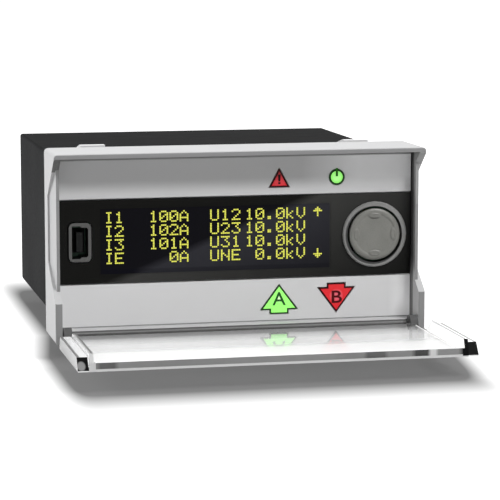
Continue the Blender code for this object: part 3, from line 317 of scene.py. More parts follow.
collar = mouldedPlastic("collarPlastic", mouldings["collarGrey"], dimmer(mouldings["collarGrey"], 0.05),
                        0.46, 1.0, 0.45, collarTones)
plate = mouldedPlastic("platePlastic", mouldings["plateGrey"], dimmer(mouldings["plateGrey"], 0.03),
                       0.5, 0.5, 0.4, plateTones)
casing = mouldedPlastic("housingPlastic", mouldings["housingWear"], mouldings["housingBlack"],
                        0.6, 2.0, 0.014, housingTones)
clampPlastic = mouldedPlastic("clampPlastic", mouldings["clampGrey"], dimmer(mouldings["clampGrey"], 0.06),
                              0.5)
paint(collar, "bezel")
paint(clampPlastic, *[name for name in nodes if name.startswith("panel_clamp")])
paint(plate, "face_plate")
paint(casing, "housing", "rear_cover")
print("mouldings painted")

# Window band, display and its glass
# the lift colours, slope, cross, soft and fade set a painted reflection on the black glass
window = {"black": (0.0056, 0.0056, 0.0048), "lift": (0.046, 0.046, 0.044),
          "screen": (0.0015, 0.0013, 0.0035), "screenLift": (0.030, 0.030, 0.037),
          "slope": 0.40, "cross": -3.45 * mm, "soft": 2.2 * mm, "fadeFrom": 2 * mm, "fadeTo": 30 * mm,
          "stripHeight": 1.2 * mm, "stripSoft": 0.4 * mm, "stripDark": 0.35, "stripEnd": -26 * mm,
          "stripBlue": (0.0004, 0.0004, 0.0040)}


def glossyBlack(name, dark, light, roughness, foot=None):
    # a painted reflection as a slanting sheen, and along the foot of the screen a bluish strip
    finish = Finish(name)
    x, y, z = finish.axes()
    beyond = x * window["slope"] - z - window["cross"]
    fading = 1 - beyond.ramp(window["fadeFrom"], window["fadeTo"])
    sheen = beyond.ramp(-window["soft"] / 2, window["soft"] / 2) * fading
    sheenMottle = finish.noise(70.0, 3.0)
    smear = finish.noise(420.0, 5.0, 0.6)
    tone = finish.blend(sheen * (0.8 + sheenMottle * 0.4), dark, light)
    if foot is not None:
        top = foot + window["stripHeight"] + 0.1 * mm
        low = 1 - z.ramp(top - window["stripSoft"], top)
        tone = finish.blend(low * window["stripDark"], tone, window["stripBlue"])
        left = 1 - x.ramp(window["stripEnd"] - 1 * mm, window["stripEnd"] + 1 * mm)
        tone = finish.blend(low * left, tone, window["stripBlue"])
    finish.shade({"Base Color": tone, "Roughness": roughness + (smear - 0.5) * 0.08,
                  "Specular IOR Level": 0.05})
    return finish.material


paint(glossyBlack("windowGloss", window["black"], window["lift"], 0.22), "window_band")
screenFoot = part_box("display_glass")[0].z
paint(glossyBlack("screenGlass", window["screen"], window["screenLift"], 0.16, screenFoot), "display_glass")

# A thin seal fills the gap round the display glass
seal = {"width": 0.35 * mm, "sink": 0.08 * mm, "depth": 0.5 * mm}
sealShape = bmesh.new()
low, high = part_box("display_glass")
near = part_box("window_band")[0].y + seal["sink"]
for start, stop in (((low.x - seal["width"], low.z - seal["width"]), (high.x + seal["width"], low.z)),
                    ((low.x - seal["width"], high.z), (high.x + seal["width"], high.z + seal["width"])),
                    ((low.x - seal["width"], low.z), (low.x, high.z)),
                    ((high.x, low.z), (high.x + seal["width"], high.z))):
    addBlock(sealShape, (start[0], near, start[1]), (stop[0], near + seal["depth"], stop[1]))
newPiece("screenSeal", sealShape, "relay", nodes["window_band"].data.materials[0])

# Lit characters, each a 5 by 7 dot pattern
screenText = {"colour": (0.80, 0.80, 0.11), "glow": 0.34, "dotWidth": 0.465 * mm, "dotHeight": 0.415 * mm,
              "fill": 0.86, "rise": 0.02 * mm, "firstRow": 8.48 * mm, "rowPitch": 3.46 * mm,
              "columns": (-34.35 * mm, -22.90 * mm, -7.12 * mm, 2.02 * mm, 20.0 * mm),
              "pitch": (2.62 * mm, 2.62 * mm, 2.80 * mm, 2.70 * mm, 2.62 * mm)}
screenRows = (("I1", "100A", "U12", "10.0kV", "^"), ("I2", "102A", "U23", "10.0kV", ""),
              ("I3", "101A", "U31", "10.0kV", ""), ("IE", "  0A", "UNE", " 0.0kV", "v"))
dotPatterns = {
    "0": "-###- #---# #--## #-#-# ##--# #---# -###-", "1": "--#-- -##-- --#-- --#-- --#-- --#-- -###-",
    "2": "-###- #---# ----# ---#- --#-- -#--- #####", "3": "##### ---#- --#-- ---#- ----# #---# -###-",
    "I": "-###- --#-- --#-- --#-- --#-- --#-- -###-", "A": "--#-- -#-#- #---# #---# ##### #---# #---#",
    "U": "#---# #---# #---# #---# #---# #---# -###-", "E": "##### #---- #---- ####- #---- #---- #####",
    "N": "#---# #---# ##--# #-#-# #--## #---# #---#", "k": "#---- #---- #--#- #-#-- ##--- #-#-- #--#-",
    "V": "#---# #---# #---# #---# #---# -#-#- --#--", ".": "----- ----- ----- ----- ----- -##-- -##--",
    "^": "--#-- -###- ##### --#-- --#-- --#-- -----", "v": "----- --#-- --#-- --#-- ##### -###- --#--"}


def glowing(name, colour, strength, roughness=0.3, mottle=0.15, spot=None, pale=None, dimTop=0.0):
    finish = Finish(name)
    grain = finish.noise(2600.0, 2.0)
    tint = finish.blend(grain.ramp(0.3, 0.7), dimmer(colour, mottle), colour)
    if spot:
        # the lamp behind shows as a paler patch, the light falls off towards the top, and the sides stay dark
        x, y, z = finish.axes()
        aside, above = (x - spot[0]) / spot[2], (z - spot[1]) / spot[2]
        tint = finish.blend((1 - (aside * aside + above * above)).clamp() * spot[3], tint, pale)
        tint = finish.blend(above.ramp(0.0, 1.6) * dimTop, tint, dimmer(colour, 0.85))
        sideways = finish.normals()[1] > -0.5
        tint = finish.blend(sideways, tint, dimmer(colour, 0.95))
    finish.shade({"Base Color": tint, "Emission Color": tint, "Emission Strength": strength,
                  "Roughness": roughness, "Specular IOR Level": 0.25})
    return finish.material


screenLight = glowing("screenYellow", screenText["colour"], screenText["glow"])
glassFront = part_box("display_glass")[0].y


def writeRow(number, words):
    shape = bmesh.new()
    wide, tall, fill = screenText["dotWidth"], screenText["dotHeight"], screenText["fill"]
    top = screenText["firstRow"] - number * screenText["rowPitch"]
    for word, start, pitch in zip(words, screenText["columns"], screenText["pitch"]):
        for place, sign in enumerate(word):
            for row, line in enumerate(dotPatterns.get(sign, "").split()):
                for column, state in enumerate(line):
                    if state == "#":
                        x = start + place * pitch + column * wide
                        z = top - row * tall
                        addBlock(shape, (x, glassFront - screenText["rise"], z - tall * fill),
                                 (x + wide * fill, glassFront - screenText["rise"] / 4, z))
    return newPiece("screenRow" + str(number + 1), shape, "relay", screenLight)


for number, words in enumerate(screenRows):
    writeRow(number, words)
print("display written")

# Lit symbols: coloured light pipes with a dark outline
lamps = {"green": (0.30, 0.92, 0.17), "red": (0.76, 0.018, 0.026),
         "greenEdge": (0.035, 0.09, 0.03), "redEdge": (0.05, 0.006, 0.008),
         "letterGreen": (0.03, 0.13, 0.03), "letterRed": (0.10, 0.006, 0.008),
         "markBlack": (0.010, 0.003, 0.003), "markGreen": (0.035, 0.20, 0.02),
         "pale": (0.75, 0.95, 0.62), "pink": (0.80, 0.16, 0.22), "rise": 0.12 * mm,
         "letterRise": 0.05 * mm, "letterFront": 0.04 * mm, "letterLevel": -15.1 * mm,
         "letterWeight": 0.055 * mm}
# Colour, colour of its paler patch, glow, the patch (height above the middle, radius, share), darkening
# towards the top, and how far the outline reaches in and out
lensLook = {"power_lens": ("green", "pale", 0.62, (0.0, 1.3 * mm, 0.25), 0.0, (0.34 * mm, 0.14 * mm)),
            "warning_lens": ("red", "pink", 0.22, (-0.9 * mm, 1.9 * mm, 0.15), 0.85, (0.26 * mm, 0.08 * mm)),
            "up_arrow_lens": ("green", "pale", 0.58, (0.1 * mm, 1.0 * mm, 0.8), 0.0, (0.20 * mm, 0.06 * mm)),
            "down_arrow_lens": ("red", "pink", 0.20, (0.4 * mm, 1.9 * mm, 0.8), 0.0, (0.22 * mm, 0.06 * mm))}
for name, (tone, pale, strength, spot, dimTop, outline) in lensLook.items():
    low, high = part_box(name)
    middle = (low + high) / 2
    paint(glowing(name.replace("_lens", "Lens").replace("_", ""), lamps[tone], strength, 0.2, 0.06,
                  (middle.x, middle.z + spot[0], spot[1], spot[2]), lamps[pale], dimTop), name)


def printed(name, colour, roughness=0.5):
    finish = Finish(name)
    fleck = finish.noise(3000.0, 3.0)
    finish.shade({"Base Color": finish.blend(fleck, dimmer(colour, 0.3), colour),
                  "Roughness": roughness + (fleck - 0.5) * 0.1, "Specular IOR Level": 0.1})
    return finish.material


greenEdge = printed("greenOutline", lamps["greenEdge"])
redEdge = printed("redOutline", lamps["redEdge"])


def grown(points, amount):
    # an anticlockwise outline with every side moved outwards
    moved = []
    for index, here in enumerate(points):
        before, after = points[index - 1], points[(index + 1) % len(points)]
        first = (Vector(here) - Vector(before)).normalized()
        second = (Vector(after) - Vector(here)).normalized()
        outFirst, outSecond = Vector((first.y, -first.x)), Vector((second.y, -second.x))
        middle = (outFirst + outSecond).normalized()
        moved.append(tuple(Vector(here) + middle * amount / max(0.3, middle.dot(outFirst))))
    return moved


def addRibbon(shape, inner, outer, near, far):
    # a flat band between two matching outlines, standing from depth near to depth far
    rings = []
    for outline, depth in ((inner, near), (outer, near), (outer, far), (inner, far)):
        rings.append([shape.verts.new((x, depth, z)) for x, z in outline])
    count = len(inner)
    for ring in range(4):
        here, there = rings[ring], rings[(ring + 1) % 4]
        for index in range(count):
            after = (index + 1) % count
            shape.faces.new((here[index], here[after], there[after], there[index]))
    bmesh.ops.recalc_face_normals(shape, faces=shape.faces)


def arrowPoints(low, high, pointsUp):
    # head and stem of a direction arrow inside its box
    centre, wide, tall = (low.x + high.x) / 2, high.x - low.x, high.z - low.z
    headShare, stemShare = 0.85, 0.495
    sign = 1 if pointsUp else -1
    tip = high.z if pointsUp else low.z
    tail = low.z if pointsUp else high.z
    shoulder = tip - sign * tall * headShare
    wing, stem = sign * wide / 2, sign * wide * stemShare / 2
    return [(centre, tip), (centre - wing, shoulder), (centre - stem, shoulder), (centre - stem, tail),
            (centre + stem, tail), (centre + stem, shoulder), (centre + wing, shoulder)]


def outlineLens(name, points, material):
    low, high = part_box(name)
    inside, outside = lensLook[name][5]
    shape = bmesh.new()
    addRibbon(shape, grown(points, -inside), grown(points, outside),
              low.y - lamps["rise"] / 2, low.y + lamps["rise"] * 1.2)
    return newPiece(name.replace("_lens", "Outline").replace("_", ""), shape, "relay", material)


for name, up, edge in (("up_arrow_lens", True, greenEdge), ("down_arrow_lens", False, redEdge)):
    outlineLens(name, arrowPoints(*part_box(name), up), edge)
low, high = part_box("warning_lens")
outlineLens("warning_lens", [(low.x, low.z), (high.x, low.z), ((low.x + high.x) / 2, high.z)], redEdge)
low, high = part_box("power_lens")
powerCentre, powerRadius = (low + high) / 2, (high.x - low.x) / 2
outlineLens("power_lens", [(powerCentre.x + powerRadius * math.cos(turn * math.pi / 20),
                            powerCentre.z + powerRadius * math.sin(turn * math.pi / 20))
                           for turn in range(40)], greenEdge)


def mark(name, low, high, material, taper=0.0):
    # a slim printed bar on a lens, narrower at its foot where taper is set
    shape = bmesh.new()
    addBlock(shape, low, high)
    middle = (low[0] + high[0]) / 2
    for vert in shape.verts:
        if vert.co.z < (low[2] + high[2]) / 2:
            vert.co.x = middle + (vert.co.x - middle) * (1 - taper)
    return newPiece(name, shape, "relay", material)


marks = {"rise": 0.05 * mm, "barHalf": 0.36 * mm, "barEnds": 1.35 * mm, "barTaper": 0.35,
         "dotHalf": 0.28 * mm, "dotFoot": 0.65 * mm, "dotTop": 1.15 * mm,
         "powerRise": 0.10 * mm, "powerHalf": 0.30 * mm, "powerFrom": 0.20 * mm, "powerPast": 0.42 * mm}
low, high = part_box("warning_lens")
middleX, face = (low.x + high.x) / 2, low.y
mark("warningBar", (middleX - marks["barHalf"], face - marks["rise"], low.z + marks["barEnds"]),
     (middleX + marks["barHalf"], face, high.z - marks["barEnds"]),
     printed("markBlack", lamps["markBlack"]), marks["barTaper"])
mark("warningDot", (middleX - marks["dotHalf"], face - marks["rise"], low.z + marks["dotFoot"]),
     (middleX + marks["dotHalf"], face, low.z + marks["dotTop"]), redEdge)
mark("powerBar", (powerCentre.x - marks["powerHalf"], face - marks["powerRise"],
                  powerCentre.z + marks["powerFrom"]),
     (powerCentre.x + marks["powerHalf"], face, powerCentre.z + powerRadius + marks["powerPast"]),
     printed("markGreen", lamps["markGreen"]))


def glyph(name, sign, height, weight):
    # one printed sign lying flat, its middle at the origin
    curve = bpy.data.curves.new(name, "FONT")
    curve.body = sign
    curve.size = height * 1.42  # font size for that height of a capital
    curve.align_x = "CENTER"
    curve.extrude = lamps["letterRise"] / 2
    curve.offset = weight
    curve.resolution_u = 4
    source = bpy.data.objects.new(name + "Source", curve)
    bpy.context.scene.collection.objects.link(source)
    mesh = bpy.data.meshes.new_from_object(source.evaluated_get(bpy.context.evaluated_depsgraph_get()))
    bpy.data.objects.remove(source)
    heights = [vert.co.y for vert in mesh.vertices]
    mesh.transform(Matrix.Translation((0, -(min(heights) + max(heights)) / 2, 0)))
    return mesh


def letter(name, sign, centre, height, width, material):
    mesh = glyph(name, sign, height, lamps["letterWeight"])
    mesh.transform(Matrix.Translation(centre) @ Matrix.Rotation(math.pi / 2, 4, "X")
                   @ Matrix.Diagonal((width, 1, 1, 1)))
    piece = bpy.data.objects.new(name, mesh)
    bpy.context.scene.collection.objects.link(piece)
    mesh.materials.clear()
    mesh.materials.append(material)
    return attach(piece, "relay")


for sign, name, height, width, colour in (("A", "up_arrow_lens", 3.40 * mm, 1.04, "letterGreen"),
                                          ("B", "down_arrow_lens", 3.20 * mm, 1.22, "letterRed")):
    low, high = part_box(name)
    centre = ((low.x + high.x) / 2, low.y - lamps["letterFront"], lamps["letterLevel"])
    letter("direction" + sign, sign, centre, height, width, printed("print" + sign, lamps[colour]))
print("symbols outlined")

# Navigation button: satin ring and dished cap with four direction marks
button = {"ring": (0.28, 0.28, 0.275), "ringDark": (0.185, 0.185, 0.18), "cap": (0.235, 0.235, 0.215),
          "capDark": (0.17, 0.17, 0.155), "rings": 46, "turns": 144, "dish": 0.18 * mm, "rimWidth": 1.5 * mm,
          "markRadius": 4.85 * mm, "markLength": 1.75 * mm, "markWidth": 0.72 * mm, "markHeight": 0.24 * mm,
          "throat": 0.20 * mm, "throatShift": (-0.25 * mm, -0.22 * mm), "boreShadowGrey": (0.012, 0.012, 0.012),
          "shadeDrop": 0.62 * mm, "shadeLength": 1.25 * mm, "shadeWidth": 0.22 * mm, "ringFace": 1.2 * mm}


def satinGrain(finish, light, dark):
    fine = finish.noise(4200.0, 2.0, 0.6)
    cloud = finish.noise(160.0, 3.0)
    return finish.blend((fine * 0.4 + cloud * 0.6).ramp(0.3, 0.7), dark, light), fine, cloud


def satinFinish(finish, tone, fine, cloud, roughness, sheen=0.5):
    finish.shade({"Base Color": tone, "Roughness": roughness + (cloud - 0.5) * 0.15,
                  "Normal": finish.bump(fine, 0.2, 0.01 * mm), "Specular IOR Level": sheen})
    return finish.material


def satin(name, light, dark, roughness, sheen=0.5):
    finish = Finish(name)
    return satinFinish(finish, *satinGrain(finish, light, dark), roughness, sheen)


def ringSatin():
    # painted shadow inside its bore, at the gap round the cap
    low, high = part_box("nav_ring")
    middle, reach = (low + high) / 2, (high.x - low.x) / 2
    finish = Finish("ringSatin")
    tone, fine, cloud = satinGrain(finish, button["ring"], button["ringDark"])
    x, y, z = finish.axes()
    aside = x - (middle.x + button["throatShift"][0])
    above = z - (middle.z + button["throatShift"][1])
    distance = (aside * aside + above * above).power(0.5)
    bore = reach - button["ringFace"] + button["throat"]
    inside = 1 - distance.ramp(bore - 0.08 * mm, bore + 0.12 * mm)
    return satinFinish(finish, finish.blend(inside, tone, button["boreShadowGrey"]), fine, cloud, 0.36)


paint(ringSatin(), "nav_ring")


def capHeight(radius, turn, reach):
    # how far the cap's face lies in front of the dish floor, in metres
    rim = reach - button["rimWidth"]
    if radius > rim:
        share = (radius - rim) / button["rimWidth"]
        height = button["dish"] * math.sin(min(1.0, share / 0.35) * math.pi / 2)
        height -= 1.1 * mm * max(0.0, share - 0.45) ** 2
    else:
        height = 0.0
    for quarter in range(4):
        angle = turn - quarter * math.pi / 2
        along = radius * math.sin(angle)
        across = radius * math.cos(angle) - button["markRadius"]
        inside = 1 - (along / button["markLength"]) ** 2 - (across / button["markWidth"]) ** 2
        if math.cos(angle) > 0 and inside > 0:
            height += button["markHeight"] * min(1.0, inside * 2.2)
    return height


def capSatin(middle):
    # painted shade: a dark bar under the upper mark's lower edge
    finish = Finish("capSatin")
    tone, fine, cloud = satinGrain(finish, button["cap"], button["capDark"])
    x, y, z = finish.axes()
    aside = (x - middle.x) / button["shadeLength"]
    above = (z - (middle.z + button["markRadius"] - button["shadeDrop"])) / button["shadeWidth"]
    square = aside * aside + above * above
    tone = finish.blend((1 - square.ramp(0.3, 1.4)) * 0.6, tone, dimmer(button["capDark"], 0.8))
    return satinFinish(finish, tone, fine, cloud, 0.42)


def buildCap():
    low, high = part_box("nav_cap")
    centre, reach = (low + high) / 2, (high.x - low.x) / 2
    shape = bmesh.new()
    face = low.y + button["dish"] * 1.2
    rings = []
    for ring in range(1, button["rings"] + 1):
        radius = reach * ring / button["rings"]
        line = []
        for step in range(button["turns"]):
            turn = 2 * math.pi * step / button["turns"]
            line.append(shape.verts.new((centre.x + radius * math.cos(turn),
                                         face - capHeight(radius, turn, reach),
                                         centre.z + radius * math.sin(turn))))
        rings.append(line)
    back = face + 1.5 * mm
    rings.append([shape.verts.new((vert.co.x, back, vert.co.z)) for vert in rings[-1]])
    middle = shape.verts.new((centre.x, face, centre.z))
    tail = shape.verts.new((centre.x, back, centre.z))
    count = button["turns"]
    for step in range(count):
        after = (step + 1) % count
        shape.faces.new((middle, rings[0][after], rings[0][step]))
        shape.faces.new((tail, rings[-1][step], rings[-1][after]))
        for here, there in zip(rings, rings[1:]):
            shape.faces.new((here[step], here[after], there[after], there[step]))
    bmesh.ops.recalc_face_normals(shape, faces=shape.faces)
    cap = newPiece("buttonCap", shape, "nav_cap_body", capSatin(centre), True)
    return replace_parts(cap, "nav_cap")


buildCap()
paint(satin("gimbalPlastic", (0.03, 0.03, 0.03), (0.02, 0.02, 0.02), 0.5), "nav_gimbal", "nav_plunger",
      "nav_switch", "display_module", "board_connector", "storage_capacitor", "output_relay_1",
      "output_relay_2", "output_relay_3")
paint(satin("tonguePlastic", (0.022, 0.022, 0.022), (0.014, 0.014, 0.014), 0.6, 0.03), "socket_insulator")
print("button built")

# Metal of the socket, screws and pins
metals = {"socket": (0.088, 0.088, 0.086), "screw": (0.62, 0.62, 0.63), "pin": (0.06, 0.06, 0.06)}


def brushed(name, colour, roughness, stretch, mouth=None, metallic=1.0):
    finish = Finish(name)
    lines = finish.noise(2500.0, 4.0, 0.6, finish.stretched(stretch))
    smudge = finish.noise(300.0, 3.0)
    tone = finish.blend(lines, dimmer(colour, 0.25), colour)
    if mouth is not None:
        # painted shade deep inside its mouth, where it is also dull
        deep = finish.axes()[1].ramp(mouth + 0.15 * mm, mouth + 0.6 * mm)
        tone = finish.blend(deep, tone, dimmer(colour, 0.97))
        metallic = 1 - deep
    finish.shade({"Base Color": tone, "Metallic": metallic, "Specular IOR Level": 0.05,
                  "Roughness": roughness + (smudge - 0.5) * 0.15,
                  "Normal": finish.bump(lines, 0.15, 0.008 * mm)})
    return finish.material


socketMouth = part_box("socket_shell")[0].y
paint(brushed("socketSteel", metals["socket"], 0.32, (1.0, 0.1, 1.0), socketMouth), "socket_shell")
screwSteel = brushed("screwSteel", metals["screw"], 0.28, (1.0, 1.0, 0.2))
# the hinge pins are near-black and without metal shine: painted shade in the dark hinge corners
paint(brushed("pinSteel", metals["pin"], 0.5, (0.2, 1.0, 1.0), None, 0.0),
      "hinge_pin_left", "hinge_pin_right")
paint(screwSteel, *[name for name in nodes if name.startswith(("board_screw", "cover_screw"))])

# Boards, seal and terminals
backOfRelay = {"board": (0.015, 0.10, 0.045), "boardDark": (0.01, 0.06, 0.03),
               "terminal": (0.045, 0.25, 0.11), "terminalDark": (0.03, 0.19, 0.08),
               "seal": (0.02, 0.02, 0.02), "copper": (0.50, 0.27, 0.10), "led": (0.8, 0.8, 0.75)}
paint(satin("boardGreen", backOfRelay["board"], backOfRelay["boardDark"], 0.4), "front_board", "main_board",
      "power_board")
terminalPlastic = mouldedPlastic("terminalPlastic", backOfRelay["terminal"], backOfRelay["terminalDark"],
                                 0.45)
paint(terminalPlastic, *[name for name in nodes if name.startswith("terminal_block")])
paint(mouldedPlastic("sealRubber", backOfRelay["seal"], dimmer(backOfRelay["seal"], 0.3), 0.7), "panel_seal")
paint(satin("coilWrap", backOfRelay["copper"], dimmer(backOfRelay["copper"], 0.3), 0.5),
      "supply_transformer")
paint(glowing("ledWhite", backOfRelay["led"], 0.0),
      "warning_led", "power_led", "up_arrow_led", "down_arrow_led")

# Fittings at the rear: screws in the wells, clamps in the wire entries, plain way numbers on the cover; the
# screw slots and clamp mouths are thin black sheets, painted shade of their recesses
rear = {"pitch": 5.0 * mm, "wellBack": 3.75 * mm, "wellDepth": 2.0 * mm, "screwRadius": 1.55 * mm,
        "screwHeight": 0.9 * mm, "slotLength": 2.6 * mm, "slotWidth": 0.45 * mm, "skin": 0.03 * mm,
        "entryRise": 3.5 * mm, "cageHalf": 1.3 * mm, "cageFront": 2.2 * mm, "cageBack": 5.9 * mm,
        "jawHalf": 0.75 * mm, "numberHeight": 1.75 * mm, "numberWeight": 0.02 * mm,
        "gapBelow": 2.5 * mm, "gapAbove": 1.75 * mm, "white": (0.72, 0.72, 0.70),
        "steel": (0.50, 0.50, 0.48), "black": (0.006, 0.006, 0.006)}


def fitTerminals():
    screws, slots, cages, jaws, numbers = (bmesh.new() for kind in range(5))
    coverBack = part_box("rear_cover")[1].y
    way = 0
    for name in ("terminal_block_upper", "terminal_block_lower_right", "terminal_block_lower_left"):
        low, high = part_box(name)
        count = round((high.x - low.x) / rear["pitch"])
        outside = low.z - rear["gapBelow"] if low.z > 0 else high.z + rear["gapAbove"]
        for place in range(count):
            way += 1
            x = high.x - (place + 0.5) * rear["pitch"]
            y, foot = high.y - rear["wellBack"], high.z - rear["wellDepth"]
            made = bmesh.ops.create_cone(screws, cap_ends=True, segments=16, radius1=rear["screwRadius"],
                                         radius2=rear["screwRadius"] * 0.92, depth=rear["screwHeight"])
            bmesh.ops.translate(screws, verts=made["verts"], vec=(x, y, foot + rear["screwHeight"] / 2))
            top, half, thin = foot + rear["screwHeight"], rear["slotLength"] / 2, rear["slotWidth"] / 2
            # each screw's slot is a thin black sheet: painted shade of the recess
            addBlock(slots, (x - thin, y - half, top - rear["skin"]),
                     (x + thin, y + half, top + rear["skin"]))
            z, cage, jaw = low.z + rear["entryRise"], rear["cageHalf"], rear["jawHalf"]
            near, far = high.y - rear["cageFront"], high.y - rear["cageBack"]
            addBlock(cages, (x - cage, far, z - cage), (x + cage, near, z + cage))
            # the clamp's mouth is a thin black sheet: painted shade of the wire entry
            addBlock(jaws, (x - jaw, near, z - jaw), (x + jaw, near + rear["skin"], z + jaw))
            mesh = glyph("way", str(way), rear["numberHeight"], rear["numberWeight"])
            mesh.transform(Matrix.Translation((x, coverBack, outside)) @ Matrix.Rotation(math.pi, 4, "Z")
                           @ Matrix.Rotation(math.pi / 2, 4, "X"))
            numbers.from_mesh(mesh)
            bpy.data.meshes.remove(mesh)
    steel = brushed("terminalSteel", rear["steel"], 0.35, (1.0, 0.2, 1.0))
    dark = printed("fittingBlack", rear["black"])
    for name, shape, material in (("terminalScrews", screws, steel), ("terminalSlots", slots, dark),
                                  ("wireClamps", cages, steel), ("clampMouths", jaws, dark),
                                  ("wayNumbers", numbers, printed("numberWhite", rear["white"]))):
        newPiece(name, shape, "relay", material)


fitTerminals()

# A strip closes the gap between the face plate's foot and the collar's sill
strip = {"sink": 0.2 * mm, "depth": 1.0 * mm, "height": 0.36 * mm, "inset": 0.3 * mm,
         "grey": (0.60, 0.60, 0.60)}
low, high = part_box("face_plate")
stripShape = bmesh.new()
addBlock(stripShape, (low.x + strip["inset"], low.y + strip["sink"], low.z - strip["height"]),
         (high.x - strip["inset"], low.y + strip["sink"] + strip["depth"], low.z))
newPiece("footStrip", stripShape, "relay", printed("stripGrey", strip["grey"]))
print("rear fitted")

# Clear door: painted white reflection rising towards its front, painted shade near the hinge, and painted
# dark reflections as lines along its edges and on its ends
doorLook = {"tint": (0.985, 0.99, 0.99), "hingeShade": (0.19, 0.19, 0.19), "hingeFrom": 3 * mm,
            "hingeTo": 17 * mm, "ior": 1.38, "roughness": 0.02, "shadow": (0.66, 0.66, 0.66),
            "bounceShare": 0.8, "bounce": (0.80, 0.80, 0.80),
            "reflectedWhite": (0.97, 0.97, 0.97), "whiteAtHinge": 0.05, "whiteAtMiddle": 0.43,
            "whiteAtFront": 0.82, "frontZone": 17 * mm, "frontSoft": 2 * mm, "lip": (0.28, 0.28, 0.28),
            "lipFoot": (0.75, 0.75, 0.75), "foot": 0.6 * mm, "black": (0.004, 0.004, 0.004),
            "edgeLine": (0.10, 0.10, 0.10), "lipShare": 0.95, "railFrom": 44.5 * mm,
            "ribFrom": 46.0 * mm, "earFrom": 43.0 * mm, "earReach": 5.0 * mm, "ear": (0.14, 0.14, 0.14),
            "patches": ((-41.8 * mm, 2.2 * mm, 0.6), (22.9 * mm, 2.6 * mm, 0.62), (34.2 * mm, 2.0 * mm, 0.9),
                        (45.0 * mm, 1.0 * mm, 0.9)),
            "brightPatch": (37.1 * mm, 0.9 * mm), "endPatch": (-47.75 * mm, 1.0 * mm, 0.25 * mm),
            "frontGlow": 0.03, "railLines": (48.25 * mm, 45.15 * mm), "railLineHalf": 0.34 * mm,
            "railLineShare": (0.8, 0.45), "sideFrom": -48.4 * mm, "sideGrey": (0.40, 0.40, 0.40),
            "rightRail": (0.92, 0.92, 0.92), "rightGlow": 0.70, "rightShare": 0.55, "railReach": 6.0 * mm,
            "lineShare": 0.7, "earShare": 0.8, "sideShare": 0.55}


